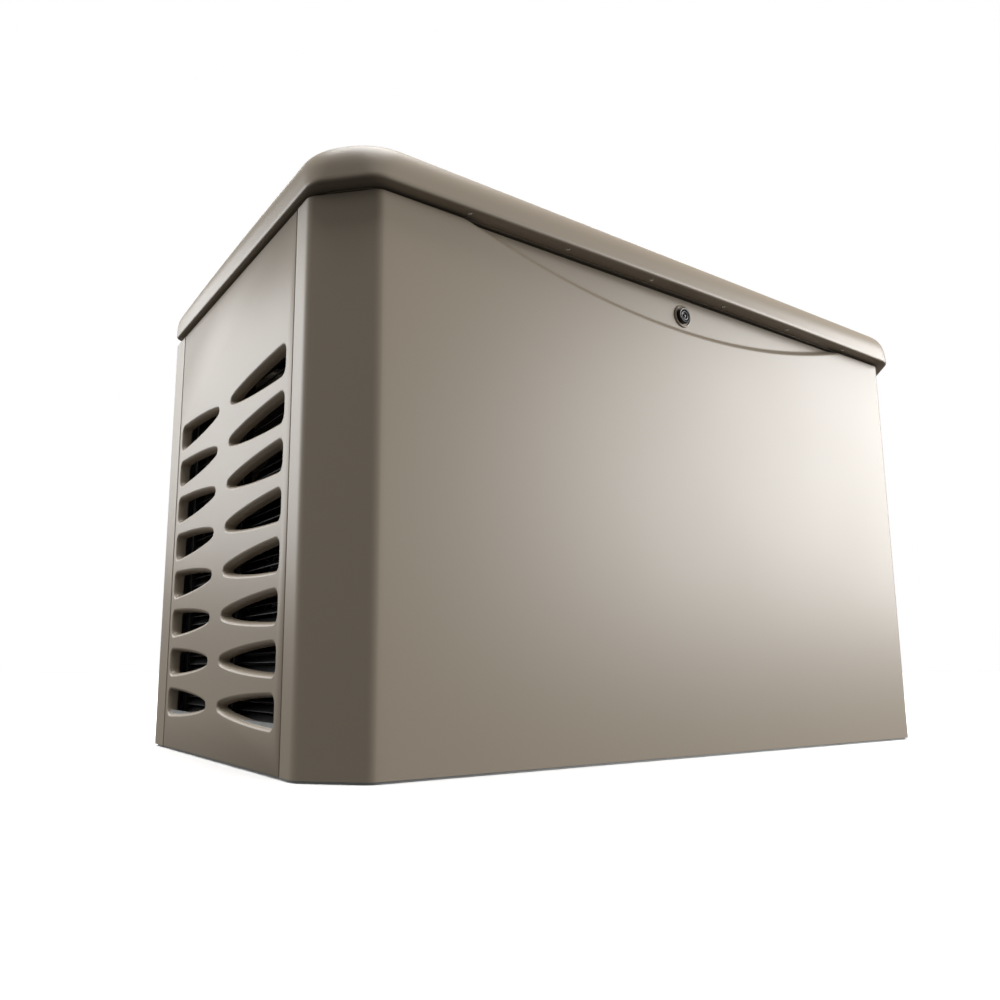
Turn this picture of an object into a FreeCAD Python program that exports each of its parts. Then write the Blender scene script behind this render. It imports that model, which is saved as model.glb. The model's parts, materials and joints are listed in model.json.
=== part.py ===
import FreeCAD, Part
import Sketcher
import math
import os

# Home standby generator: a moulded cabinet with a hinged roof round an air-cooled V-twin engine
# and its alternator. X is the length (air enters at -X), -Y is the front, Z is up.
# The origin is on the ground under the middle of the cabinet.

SIZES = {
    # overall
    "length": 1219,
    "depth": 666,
    "height": 750,
    # cabinet panels
    "side_overhang": 8,
    "lip_overhang": 17,
    "lip_bow": 13,
    "wall": 4,
    "panel_bottom": 3,
    "panel_top": 691.7,
    "corner_chamfer": 64,
    "corner_round": 18,
    "return_strip": 33,
    "rear_wrap": 51,
    "seam_gap": 3,
    "recess_depth": 7,
    "recess_drop": 58,
    "recess_radius": 1500,
    # end openings
    "louvre_rows": 8,
    "louvre_pitch": 61.6,
    "louvre_low": 73,
    "louvre_front_start": -178,
    "louvre_front_length": 198,
    "louvre_rear_start": 262,
    "louvre_rear_length": 185,
    "louvre_height": 37,
    "louvre_round": 9,
    # frame
    "pan_height": 60,
    "sheet": 3,
    "fit_gap": 0.5,
    "post_inset": 98,
    "post_width": 40,
    "rail_height": 15,
    "frame_top": 692,
    "anchor_x": 500,
    "anchor_y": 230,
    "anchor_radius": 7,
    # roof
    "roof_bottom": 696,
    "roof_wall": 3.5,
    "roof_round": 19,
    "roof_rear_inset": 15,
    "roof_flange": 62,
    "crown_radius": 2600,
    "crown_y": -45,
    "rivet_pitch": 165,
    "rivet_radius": 3.5,
    "seal_width": 12,
    "seal_height": 3.7,
    # hinges
    "hinge_x": 350,
    "hinge_width": 60,
    "hinge_y": 324,
    "hinge_z": 698,
    "knuckle_radius": 5.5,
    "hinge_pin_radius": 2.5,
    "running_gap": 0.05,
    "side_gap": 0.3,
    # lock
    "lock_z": 664,
    "lock_radius": 11,
    "plug_radius": 8.5,
    "cam_length": 22,
    "cam_width": 14,
    # engine
    "crank_y": 20,
    "crank_z": 250,
    "crank_radius": 20,
    "case_left": -430,
    "case_right": -200,
    "case_half_width": 130,
    "case_bottom": 50,
    "bank_distance": 115,
    "barrel_height": 80,
    "bore_radius": 40,
    "fin_radius": 58,
    "head_height": 40,
    "cover_height": 26,
    "front_bank_x": -265,
    "rear_bank_x": -365,
    "flywheel_radius": 150,
    "fan_radius": 140,
    "blower_radius": 185,
    "starter_radius": 34,
    "port_radius": 16,
    "pipe_radius": 17,
    "muffler_radius": 78,
    "muffler_x": 280,
    # alternator
    "alternator_radius": 130,
    "rotor_radius": 88,
    "air_gap": 1,
    "alternator_right": 110,
    # services
    "battery_height": 190,
    "control_bottom": 560,
    "control_height": 100,
    "button_radius": 8,
}

V = FreeCAD.Vector
doc = FreeCAD.newDocument("StandbyGenerator")
nodes = {}


class Size:
    """A number that also knows the sheet expression it comes from."""

    def __init__(self, value, text):
        self.value = value
        self.text = text

    def joined(self, other, sign, value):
        text = other.text if isinstance(other, Size) else repr(float(other))
        return Size(value, f"({self.text} {sign} {text})")

    def __add__(self, other):
        return self.joined(other, "+", self.value + number(other))

    def __sub__(self, other):
        return self.joined(other, "-", self.value - number(other))

    def __mul__(self, other):
        return self.joined(other, "*", self.value * number(other))

    def __truediv__(self, other):
        return self.joined(other, "/", self.value / number(other))

    def __radd__(self, other):
        return Size(float(other), repr(float(other))) + self

    def __rsub__(self, other):
        return Size(float(other), repr(float(other))) - self

    def __rmul__(self, other):
        return self * other

    def __neg__(self):
        return Size(-self.value, f"(0 - {self.text})")


class Sizes:
    """The spreadsheet: one row and one alias for each driving size."""

    def __init__(self):
        sheet = doc.addObject("Spreadsheet::Sheet", "Sizes")
        for row, (name, value) in enumerate(SIZES.items(), start=1):
            sheet.set(f"A{row}", name)
            sheet.set(f"B{row}", str(value))
            sheet.setAlias(f"B{row}", name)
        doc.recompute()
        for name in SIZES:
            setattr(self, name, Size(float(sheet.get(name)), f"Sizes.{name}"))


def number(value):
    return value.value if isinstance(value, Size) else float(value)


def bind(obj, prop, value):
    """Ties a property to the sheet, or sets it where the value is a plain number."""
    if isinstance(value, Size):
        obj.setExpression(prop, value.text)
    elif "." in prop:
        obj.setExpression(prop, repr(float(value)))
    else:
        setattr(obj, prop, float(value))


def place(obj, x, y, z):
    for axis, value in (("x", x), ("y", y), ("z", z)):
        bind(obj, f"Placement.Base.{axis}", value)


def box(x, y, z, name="Block"):
    """A block between the two ends given for each axis."""
    obj = doc.addObject("Part::Box", name)
    for prop, ends in (("Length", x), ("Width", y), ("Height", z)):
        bind(obj, prop, ends[1] - ends[0])
    place(obj, x[0], y[0], z[0])
    return obj


TURNS = {
    "X": FreeCAD.Rotation(V(0, 1, 0), 90),
    "Y": FreeCAD.Rotation(V(1, 0, 0), -90),
    "Z": FreeCAD.Rotation(),
}


def at(axis, along, first, second):
    """Position with one coordinate along the axis and the other two in X, Y, Z order."""
    if axis == "X":
        return along, first, second
    if axis == "Y":
        return first, along, second
    return first, second, along


def rod(axis, start, end, first, second, radius, name="Round"):
    """A cylinder along an axis from start to end."""
    obj = doc.addObject("Part::Cylinder", name)
    bind(obj, "Radius", radius)
    bind(obj, "Height", end - start)
    obj.Placement = FreeCAD.Placement(V(), TURNS[axis])
    place(obj, *at(axis, start, first, second))
    return obj


def taper(axis, start, end, first, second, radius_start, radius_end):
    obj = doc.addObject("Part::Cone", "Taper")
    bind(obj, "Radius1", radius_start)
    bind(obj, "Radius2", radius_end)
    bind(obj, "Height", end - start)
    obj.Placement = FreeCAD.Placement(V(), TURNS[axis])
    place(obj, *at(axis, start, first, second))
    return obj


def fuse(*parts):
    obj = doc.addObject("Part::MultiFuse", "Joined")
    obj.Shapes = list(parts)
    return obj


def cut(base, *tools):
    obj = doc.addObject("Part::Cut", "Trimmed")
    obj.Base = base
    obj.Tool = tools[0] if len(tools) == 1 else fuse(*tools)
    return obj


def common(first, second):
    obj = doc.addObject("Part::Common", "Shared")
    obj.Base = first
    obj.Tool = second
    return obj


def group(parts):
    """Separate solids kept together as one node."""
    obj = doc.addObject("Part::Compound", "Group")
    obj.Links = list(parts)
    return obj


def node(name, obj):
    nodes[name] = obj
    obj.Label = name
    return obj


def polygon_sketch(body, plane, points, offset, arcs):
    """A closed outline whose corners are tied to the sheet; arcs maps a side to its bulge."""
    sketch = body.newObject("Sketcher::SketchObject", "Outline")
    role = next(f for f in body.Origin.OriginFeatures if f.Role == plane)
    sketch.AttachmentSupport = [(role, "")]
    sketch.MapMode = "FlatFace"
    bind(sketch, "AttachmentOffset.Base.z", offset)
    corners = [V(number(x), number(y), 0) for x, y in points]
    ends = []
    for i, start in enumerate(corners):
        end = corners[(i + 1) % len(corners)]
        if i in arcs:
            middle = (start + end) * 0.5 + number(arcs[i]) * V(end.y - start.y, start.x - end.x, 0).normalize()
            sketch.addGeometry(Part.Arc(start, middle, end))
            swapped = sketch.getPoint(i, 1).distanceToPoint(start) > 1e-6
            ends.append((2, 1) if swapped else (1, 2))
        else:
            sketch.addGeometry(Part.LineSegment(start, end))
            ends.append((1, 2))
    for i, (x, y) in enumerate(points):
        after = (i + 1) % len(points)
        sketch.addConstraint(Sketcher.Constraint("Coincident", i, ends[i][1], after, ends[after][0]))
        for kind, value in (("DistanceX", x), ("DistanceY", y)):
            index = sketch.addConstraint(Sketcher.Constraint(kind, -1, 1, i, ends[i][0], number(value)))
            sketch.renameConstraint(index, f"{kind}{i}")
            bind(sketch, f"Constraints.{kind}{i}", value)
    for i, bulge in arcs.items():
        chord = points[(i + 1) % len(points)][0] - points[i][0]
        radius = (chord * chord / 4 + bulge * bulge) / (bulge * 2)
        index = sketch.addConstraint(Sketcher.Constraint("Radius", i, number(radius)))
        sketch.renameConstraint(index, f"Bulge{i}")
        bind(sketch, f"Constraints.Bulge{i}", radius)
    return sketch


def prism(plane, points, start, height, arcs=None, rounds=(), round_radius=0):
    """A PartDesign body: an outline padded from start; rounds lists the corners to round."""
    body = doc.addObject("PartDesign::Body", "Body")
    sketch = polygon_sketch(body, plane, points, start, arcs or {})
    pad = body.newObject("PartDesign::Pad", "Pad")
    pad.Profile = sketch
    bind(pad, "Length", height)
    if rounds:
        doc.recompute()
        names = []
        for i, edge in enumerate(pad.Shape.Edges, start=1):
            low = edge.Vertexes[0].Point
            if edge.Curve.TypeId == "Part::GeomLine" and abs(edge.tangentAt(0).z) > 0.99:
                if any(math.hypot(low.x - number(points[k][0]), low.y - number(points[k][1])) < 0.01
                       for k in rounds):
                    names.append(f"Edge{i}")
        fillet = body.newObject("PartDesign::Fillet", "Rounding")
        fillet.Base = (pad, names)
        bind(fillet, "Radius", round_radius)
        body.Tip = fillet
    return body


def hose_shape(points, radius, bend):
    """A round tube along straight runs joined by tangent arcs."""
    corners = [V(*p) for p in points]
    edges = []
    last = corners[0]
    for before, corner, after in zip(corners, corners[1:], corners[2:]):
        first = (before - corner).normalize()
        second = (after - corner).normalize()
        half = first.getAngle(second) / 2
        reach = bend / math.tan(half)
        start = corner + first * reach
        end = corner + second * reach
        inward = (first + second).normalize()
        middle = corner + inward * (bend / math.sin(half) - bend)
        edges.append(Part.LineSegment(last, start).toShape())
        edges.append(Part.Arc(start, middle, end).toShape())
        last = end
    edges.append(Part.LineSegment(last, corners[-1]).toShape())
    path = Part.Wire(edges)
    ring = Part.Wire([Part.Circle(corners[0], corners[1] - corners[0], radius).toShape()])
    return path.makePipeShell([ring], True, False)


def feature(shape):
    obj = doc.addObject("Part::Feature", "Formed")
    obj.Shape = shape
    return obj


s = Sizes()
half_length = s.length / 2 - s.side_overhang
rear_y = s.depth / 2
front_y = -(s.depth / 2 - s.lip_overhang - s.lip_bow)
panel_height = s.panel_top - s.panel_bottom
seam_front = front_y + s.corner_chamfer + s.return_strip
seam_rear = rear_y - s.rear_wrap
INSET_LEG = 2 - math.sqrt(2)


def cabinet_outline(inset, rear_inset=None):
    """The six-cornered plan of the cabinet, drawn in by an inset."""
    side = half_length - inset
    front = front_y + inset
    rear = rear_y - (inset if rear_inset is None else rear_inset)
    leg = s.corner_chamfer - inset * INSET_LEG
    return [
        (-side, rear),
        (-side, front + leg),
        (leg - side, front),
        (side - leg, front),
        (side, front + leg),
        (side, rear),
    ]


def lower_sheet_metal():
    """Base pan with its anchor holes, corner posts and the two top rails."""
    inset = s.wall + s.fit_gap
    outer = prism("XY_Plane", cabinet_outline(inset), 0, s.pan_height, None, (1, 2, 3, 4),
                  s.corner_round - s.wall / 2)
    hollow = prism("XY_Plane", cabinet_outline(inset + s.sheet), s.sheet, s.pan_height)
    anchors = [
        rod("Z", -1, s.sheet + 1, s.anchor_x * i, s.anchor_y * j, s.anchor_radius)
        for i in (-1, 1)
        for j in (-1, 1)
    ]
    inlet = rod("Y", rear_y - 20, rear_y, -430, 35, 12)
    node("base_pan", cut(outer, hollow, inlet, *anchors))

    inner = inset + s.sheet
    post_end = s.frame_top - s.rail_height
    front_posts = []
    rear_posts = []
    for side in (-1, 1):
        outer_x = (half_length - s.post_inset) * side
        inner_x = outer_x - s.post_width * side
        span = (inner_x, outer_x) if side > 0 else (outer_x, inner_x)
        web = (outer_x - s.sheet, outer_x) if side > 0 else (outer_x, outer_x + s.sheet)
        low = s.sheet
        front_posts.append(fuse(
            box(span, (front_y + inner + 5, front_y + inner + 5 + s.sheet), (low, post_end)),
            box(web, (front_y + inner + 5, front_y + inner + 40), (low, post_end)),
        ))
        corner_x = (half_length - inner - 2) * side
        corner_in = corner_x - s.post_width * side
        span = (corner_in, corner_x) if side > 0 else (corner_x, corner_in)
        web = (corner_x - s.sheet, corner_x) if side > 0 else (corner_x, corner_x + s.sheet)
        rear_posts.append(fuse(
            box(span, (rear_y - inner - 2 - s.sheet, rear_y - inner - 2), (low, post_end)),
            box(web, (rear_y - inner - 40, rear_y - inner - 2), (low, post_end)),
        ))
    node("corner_posts", group(front_posts + rear_posts))

    rail_x = half_length - s.corner_chamfer - 5
    rail = box((-rail_x, rail_x), (front_y + 11.5, front_y + 27), (post_end, s.frame_top))
    notch = box((-12, 12), (front_y + 10, front_y + 30), (post_end - 1, s.frame_top - 4))
    rail_x = half_length - inner
    rear_rail = box((-rail_x, rail_x), (rear_y - 33, rear_y - 8), (post_end, s.frame_top))
    node("top_rails", group([cut(rail, notch), rear_rail]))


def front_panel():
    """One C-shaped moulding with a set-back area under the roof and a hole for the lock."""
    def plan(inset):
        outline = cabinet_outline(inset)
        outline[0] = (outline[0][0], seam_front)
        outline[5] = (outline[5][0], seam_front)
        return outline

    outer = prism("XY_Plane", plan(0), s.panel_bottom, panel_height, None, (1, 2, 3, 4), s.corner_round)
    inner = prism("XY_Plane", plan(s.wall), s.panel_bottom - 1, panel_height + 2, None, (1, 2, 3, 4),
                  s.corner_round - s.wall / 2)
    centre_z = s.panel_top - s.recess_drop + s.recess_radius
    recess = taper("Y", front_y - 1, front_y + s.recess_depth, 0, centre_z,
                   s.recess_radius + 1, s.recess_radius - s.recess_depth)
    backing = taper("Y", front_y, front_y + s.recess_depth + s.wall, 0, centre_z,
                    s.recess_radius + s.wall * 2, s.recess_radius + s.wall - s.recess_depth)
    above = box((-s.length, s.length), (front_y, rear_y), (s.panel_top - s.recess_drop * 2, s.panel_top + 5))
    hole = rod("Y", front_y, front_y + 20, 0, s.lock_z, s.lock_radius)
    node("front_panel", cut(outer, cut(inner, common(backing, above)), recess, hole))


def teardrop(length, height, corner):
    """One opening in the YZ plane: a tall rounded end at 0, narrowing in two curves to a tip."""
    half = height / 2
    tip = V(0, length, 0)
    top = V(0, 0, half)
    low = V(0, 0, -half)
    bulge = V(0, length * 0.55, half * 0.72)
    sides = [
        Part.LineSegment(low, top).toShape(),
        Part.Arc(top, bulge, tip).toShape(),
        Part.Arc(tip, V(0, bulge.y, -bulge.z), low).toShape(),
    ]
    solid = Part.Face(Part.Wire(sides)).extrude(V(4 * s.wall.value, 0, 0))
    upright = [edge for edge in solid.Edges if abs(edge.tangentAt(edge.FirstParameter).x) > 0.99]
    blunt = [edge for edge in upright if edge.CenterOfMass.y < length / 2]
    sharp = [edge for edge in upright if edge.CenterOfMass.y > length / 2]
    return solid.makeFillet(corner, blunt).makeFillet(corner / 3, sharp)


def end_openings(side):
    """Two columns of openings with their tips towards each other."""
    half_x = half_length.value
    start_x = side * half_x - 2 * s.wall.value
    front = teardrop(s.louvre_front_length.value, s.louvre_height.value, s.louvre_round.value)
    rear = teardrop(s.louvre_rear_length.value, s.louvre_height.value, s.louvre_round.value)
    rear = rear.mirror(V(), V(0, 1, 0))
    openings = []
    for row in range(int(s.louvre_rows.value)):
        z = s.louvre_low.value + row * s.louvre_pitch.value
        openings.append(front.translated(V(start_x, s.louvre_front_start.value, z)))
        openings.append(rear.translated(V(start_x, s.louvre_rear_start.value, z)))
    return feature(Part.makeCompound(openings))


def end_panels():
    for name, side in (("left_end_panel", -1), ("right_end_panel", 1)):
        outer = half_length * side
        inner = (half_length - s.wall) * side
        span = (outer, inner) if side < 0 else (inner, outer)
        plate = box(span, (seam_front + s.seam_gap, seam_rear - s.seam_gap), (s.panel_bottom, s.panel_top))
        node(name, cut(plate, end_openings(side)))


def rear_panel():
    side = half_length
    inner = half_length - s.wall
    outline = [
        (-side, rear_y),
        (-side, seam_rear),
        (-inner, seam_rear),
        (-inner, rear_y - s.wall),
        (inner, rear_y - s.wall),
        (inner, seam_rear),
        (side, seam_rear),
        (side, rear_y),
    ]
    shell = prism("XY_Plane", outline, s.panel_bottom, panel_height, None, (0, 7), s.wall)
    fuel_hole = rod("Y", rear_y - 10, rear_y + 1, -430, 110, 16)
    conduit_hole = rod("Y", rear_y - 10, rear_y + 1, 430, 110, 22)
    node("rear_panel", cut(shell, fuel_hole, conduit_hole))


def roof_outline(inset):
    side = s.length / 2 - inset
    front = front_y - s.lip_overhang + inset
    rear = rear_y - s.roof_rear_inset - inset
    leg = s.corner_chamfer + 4 - inset * INSET_LEG
    return [
        (-side, rear),
        (-side, front + leg),
        (leg - side, front),
        (side - leg, front),
        (side, front + leg),
        (side, rear),
    ]


def crowned(inset, low, crown_inset, corner):
    """A slab with the roof's plan, its bowed front edge and its crowned top."""
    slab = prism("XY_Plane", roof_outline(inset), low, s.height - low, {2: s.lip_bow},
                 (1, 2, 3, 4), corner)
    crown = rod("X", -s.length, s.length, s.crown_y, s.height - s.crown_radius,
                s.crown_radius - crown_inset)
    return common(slab, crown)


def soft_top(base, radius):
    """Rounds the edges round the crowned top."""
    doc.recompute()
    top = max(base.Shape.Faces, key=lambda face: face.CenterOfMass.z)
    names = []
    for i, edge in enumerate(base.Shape.Edges, start=1):
        if any(edge.isSame(other) for other in top.Edges):
            names.append(i)
    obj = doc.addObject("Part::Fillet", "SoftTop")
    obj.Base = base
    obj.Edges = [(i, number(radius), number(radius)) for i in names]
    return obj


def roof():
    outer = soft_top(crowned(0, s.roof_bottom, 0, s.corner_round + 8), s.roof_round)
    inner = soft_top(
        crowned(s.roof_wall, s.roof_bottom + s.sheet, s.roof_wall, s.corner_round + 6),
        s.roof_round - s.roof_wall,
    )
    mouth = prism("XY_Plane", roof_outline(s.roof_flange), s.roof_bottom - 1, s.sheet + 2)
    rivets = []
    holes = []
    for i in range(6):
        x = (i - 2.5) * s.rivet_pitch
        y = front_y - 8
        head = rod("Z", s.roof_bottom - 1.5, s.roof_bottom, x, y, s.rivet_radius)
        shank = rod("Z", s.roof_bottom - 1, s.roof_bottom + s.sheet, x, y, s.rivet_radius / 2)
        rivets.append(fuse(head, shank))
        holes.append(rod("Z", s.roof_bottom - 1, s.roof_bottom + s.sheet, x, y, s.rivet_radius / 2))
    node("roof_lid", cut(outer, inner, mouth, *holes))
    node("lip_rivets", group(rivets))
    foam_low = s.roof_bottom + s.sheet + 4
    foam = crowned(s.roof_flange + 4, foam_low, s.roof_wall + s.fit_gap, s.corner_round)
    node("roof_foam", foam)
    outer_seal = prism("XY_Plane", cabinet_outline(12, 20), s.frame_top, s.seal_height)
    inner_seal = prism("XY_Plane", cabinet_outline(12 + s.seal_width, 20 + s.seal_width),
                       s.frame_top - 1, s.seal_height + 2)
    node("roof_seal", cut(outer_seal, inner_seal))


def hinges():
    frame_leaves = []
    roof_leaves = []
    third = s.hinge_width / 3
    bore_radius = s.hinge_pin_radius + s.running_gap
    rear_roof = rear_y - s.roof_rear_inset
    for side in (-1, 1):
        left = s.hinge_x * side - s.hinge_width / 2
        right = left + s.hinge_width
        ends = [(left, left + third - s.side_gap), (right - third + s.side_gap, right)]
        knuckles = [rod("X", a, b, s.hinge_y, s.hinge_z, s.knuckle_radius) for a, b in ends]
        webs = [box(e, (rear_y - 8, rear_y - 6), (s.frame_top - 20, s.hinge_z - 2)) for e in ends]
        plate = box((left, right), (rear_y - 8, rear_y - 6), (s.frame_top - 20, s.frame_top - 1))
        pin = rod("X", left, right, s.hinge_y, s.hinge_z, s.hinge_pin_radius)
        frame_leaves.append(fuse(plate, pin, *webs, *knuckles))
        middle = (left + third, right - third)
        knuckle = rod("X", *middle, s.hinge_y, s.hinge_z, s.knuckle_radius)
        leaf = box(middle, (rear_roof, rear_roof + 2), (s.hinge_z, s.hinge_z + 20))
        web = box(middle, (rear_roof, s.hinge_y), (s.hinge_z + 3, s.hinge_z + 5))
        bore = rod("X", left - 1, right + 1, s.hinge_y, s.hinge_z, bore_radius)
        roof_leaves.append(cut(fuse(leaf, web, knuckle), bore))
    node("hinge_frame_leaves", group(frame_leaves))
    node("hinge_roof_leaves", group(roof_leaves))


def lock():
    face = front_y + s.recess_depth
    tail = face + 24
    body = rod("Y", face - 3, tail, 0, s.lock_z, s.lock_radius)
    flange = rod("Y", face - 3, face, 0, s.lock_z, s.lock_radius + 4)
    bore = rod("Y", face - 4, tail + 1, 0, s.lock_z, s.plug_radius + s.running_gap)
    node("lock_body", cut(fuse(body, flange), bore))
    plug = rod("Y", face - 3.5, tail + 6, 0, s.lock_z, s.plug_radius)
    cam = box((-s.cam_width / 2, s.cam_width / 2), (tail + 2, tail + 6), (s.lock_z, s.lock_z + s.cam_length))
    keyway = box((-1, 1), (face - 4, face + 6), (s.lock_z - 5, s.lock_z + 3))
    node("lock_plug", cut(fuse(plug, cam), keyway))
    under = s.lock_z - s.cam_width / 2 - 3
    plate = box((12.5, 50), (tail + 9, tail + 12), (under - 3, s.roof_bottom))
    foot = box((12.5, 24), (tail + 1, tail + 9), (under - 3, under))
    node("roof_striker", fuse(plate, foot))


lower_sheet_metal()
front_panel()
end_panels()
rear_panel()
roof()
hinges()
lock()


COS_45 = math.sqrt(0.5)
FRONT, REAR = -1, 1
deck = s.case_bottom
head_low = s.bank_distance + s.barrel_height
head_high = head_low + s.head_height
port_distance = head_low + s.head_height / 2
HEAD_HALF = 50
exhaust_z = s.crank_z + port_distance * COS_45


def turned_box(angle, x, across, radial):
    """A block turned about the crank axis: across and radial are measured in the turned frame."""
    cos = math.cos(math.radians(angle))
    sin = math.sin(math.radians(angle))
    obj = box(x, (0, across[1] - across[0]), (0, radial[1] - radial[0]))
    for axis in "yz":
        obj.setExpression(f"Placement.Base.{axis}", None)
    obj.Placement = FreeCAD.Placement(V(), FreeCAD.Rotation(V(1, 0, 0), angle))
    place(obj, x[0], s.crank_y + across[0] * cos - radial[0] * sin,
          s.crank_z + across[0] * sin + radial[0] * cos)
    return obj


def bank_rod(side, x, low, high, radius):
    """A round piece square to the crank axis, in the plane of one bank of the V."""
    obj = doc.addObject("Part::Cylinder", "BankRound")
    bind(obj, "Radius", radius)
    bind(obj, "Height", high - low)
    obj.Placement = FreeCAD.Placement(V(), FreeCAD.Rotation(V(1, 0, 0), -45 * side))
    place(obj, x, s.crank_y + low * (COS_45 * side), s.crank_z + low * COS_45)
    return obj


def crank_rod(start, end, radius):
    return rod("X", start, end, s.crank_y, s.crank_z, radius)


def engine_bed():
    slab = box((s.case_left - 10, s.alternator_right + 20), (s.crank_y - 150, s.crank_y + 150),
               (deck - 10, deck))
    window = box((s.case_left + 40, s.alternator_right - 40), (s.crank_y - 90, s.crank_y + 90),
                 (deck - 11, deck - 4))
    node("engine_cradle", cut(slab, window))
    mounts = [
        rod("Z", s.sheet, deck - 10, x, s.crank_y + 125 * side, 22)
        for x in (s.case_left + 30, s.alternator_right - 10)
        for side in (FRONT, REAR)
    ]
    node("rubber_mounts", group(mounts))


def crankcase():
    def house(inset):
        half = s.case_half_width - inset
        peak = s.crank_z + (s.bank_distance - inset) * (1 / COS_45)
        return [
            (s.crank_y - half, deck + inset),
            (s.crank_y + half, deck + inset),
            (s.crank_y + half, peak - half),
            (s.crank_y, peak),
            (s.crank_y - half, peak - half),
        ]

    shell = 8
    outer = prism("YZ_Plane", house(0), s.case_left, s.case_right - s.case_left)
    inner = prism("YZ_Plane", house(shell), s.case_left + shell,
                  s.case_right - s.case_left - 2 * shell)
    bores = [
        bank_rod(FRONT, s.front_bank_x, s.bank_distance - 20, s.bank_distance + 5, s.bore_radius),
        bank_rod(REAR, s.rear_bank_x, s.bank_distance - 20, s.bank_distance + 5, s.bore_radius),
        crank_rod(s.case_left - 1, s.case_right + 1, s.crank_radius + s.running_gap),
    ]
    front_face = s.crank_y - s.case_half_width
    tube_y = front_face - 95
    tube = rod("Z", 180, 400, s.case_right - 15, tube_y, 8)
    boss = box((s.case_right - 23, s.case_right - 7), (tube_y, front_face), (180, 200))
    tube_bore = rod("Z", 186, 401, s.case_right - 15, tube_y, 4)
    node("crankcase", cut(fuse(cut(outer, inner), tube, boss), tube_bore, *bores))

    stick = rod("Z", 190, 404, s.case_right - 15, tube_y, 2)
    plug = rod("Z", 380, 400, s.case_right - 15, tube_y, 4 - s.running_gap)
    loop = rod("Y", tube_y - 2.5, tube_y + 2.5, s.case_right - 15, 414, 13)
    loop_hole = rod("Y", tube_y - 3, tube_y + 3, s.case_right - 15, 415, 7)
    node("dipstick", cut(fuse(stick, plug, loop), loop_hole))
    node("oil_filter", rod("Y", front_face - 78, front_face, s.case_right - 50, 130, 36))


def rotating_parts():
    web = 16
    throw = 42
    left_web = s.case_left + 14
    right_web = s.case_right - 14 - web
    pin = rod("X", left_web, right_web + web, s.crank_y, s.crank_z + throw, 20)
    webs = [crank_rod(x, x + web, 72) for x in (left_web, right_web)]
    shafts = [
        crank_rod(s.case_left - 95, left_web, s.crank_radius),
        crank_rod(right_web, s.alternator_right, s.crank_radius),
    ]
    node("crankshaft", fuse(pin, *webs, *shafts))

    wheel_left = s.case_left - 45
    disc = crank_rod(wheel_left, wheel_left + 25, s.flywheel_radius)
    hub = crank_rod(wheel_left - 42, wheel_left, 48)
    blades = [
        turned_box(30 * i, (wheel_left - 40, wheel_left), (-1.5, 1.5), (40, s.fan_radius))
        for i in range(12)
    ]
    bore = crank_rod(wheel_left - 50, wheel_left + 30, s.crank_radius)
    node("flywheel_fan", cut(fuse(disc, hub, *blades), bore))

    rotor = crank_rod(s.case_right + 30, s.alternator_right - 40, s.rotor_radius)
    slots = [
        turned_box(90 * i, (s.case_right, s.alternator_right), (-12, 12), (62, s.rotor_radius + 5))
        for i in range(4)
    ]
    bore = crank_rod(s.case_right, s.alternator_right, s.crank_radius)
    node("alternator_rotor", cut(rotor, bore, *slots))


starter_y = s.crank_y - s.flywheel_radius - 15


def blower_and_starter():
    back = s.case_left
    front = s.case_left - 100
    thick = s.sheet
    outer = crank_rod(front, back, s.blower_radius)
    inner = crank_rod(front + thick, back - thick, s.blower_radius - thick)
    inlet = crank_rod(front - 1, front + thick + 1, 92)
    shaft_hole = crank_rod(back - thick - 1, back + 1, s.crank_radius + 10)
    starter_hole = rod("X", back - thick - 1, back + 1, starter_y, s.crank_z, 12)
    outlets = [
        turned_box(-45 * side, (back - thick - 1, back + 1), (-45, 45), (132, 172))
        for side in (FRONT, REAR)
    ]
    node("blower_housing", cut(outer, inner, inlet, shaft_hole, starter_hole, *outlets))

    body = rod("X", back, back + 140, starter_y, s.crank_z, s.starter_radius)
    solenoid = rod("X", back + 15, back + 95, starter_y - 3, s.crank_z + s.starter_radius + 12, 16)
    nose = rod("X", back - thick - 8, back, starter_y, s.crank_z, 11)
    bore = rod("X", back - thick - 9, back + 20, starter_y, s.crank_z, 6 + s.running_gap)
    node("starter_motor", cut(fuse(body, solenoid, nose), bore))
    gear = rod("X", back - 40, back - 22, starter_y, s.crank_z, 14)
    shaft = rod("X", back - 40, back + 15, starter_y, s.crank_z, 6)
    node("starter_pinion", fuse(gear, shaft))


def head_block(side, x):
    return turned_box(-45 * side, (x - HEAD_HALF, x + HEAD_HALF), (-HEAD_HALF, HEAD_HALF),
                      (head_low, head_high))


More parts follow.
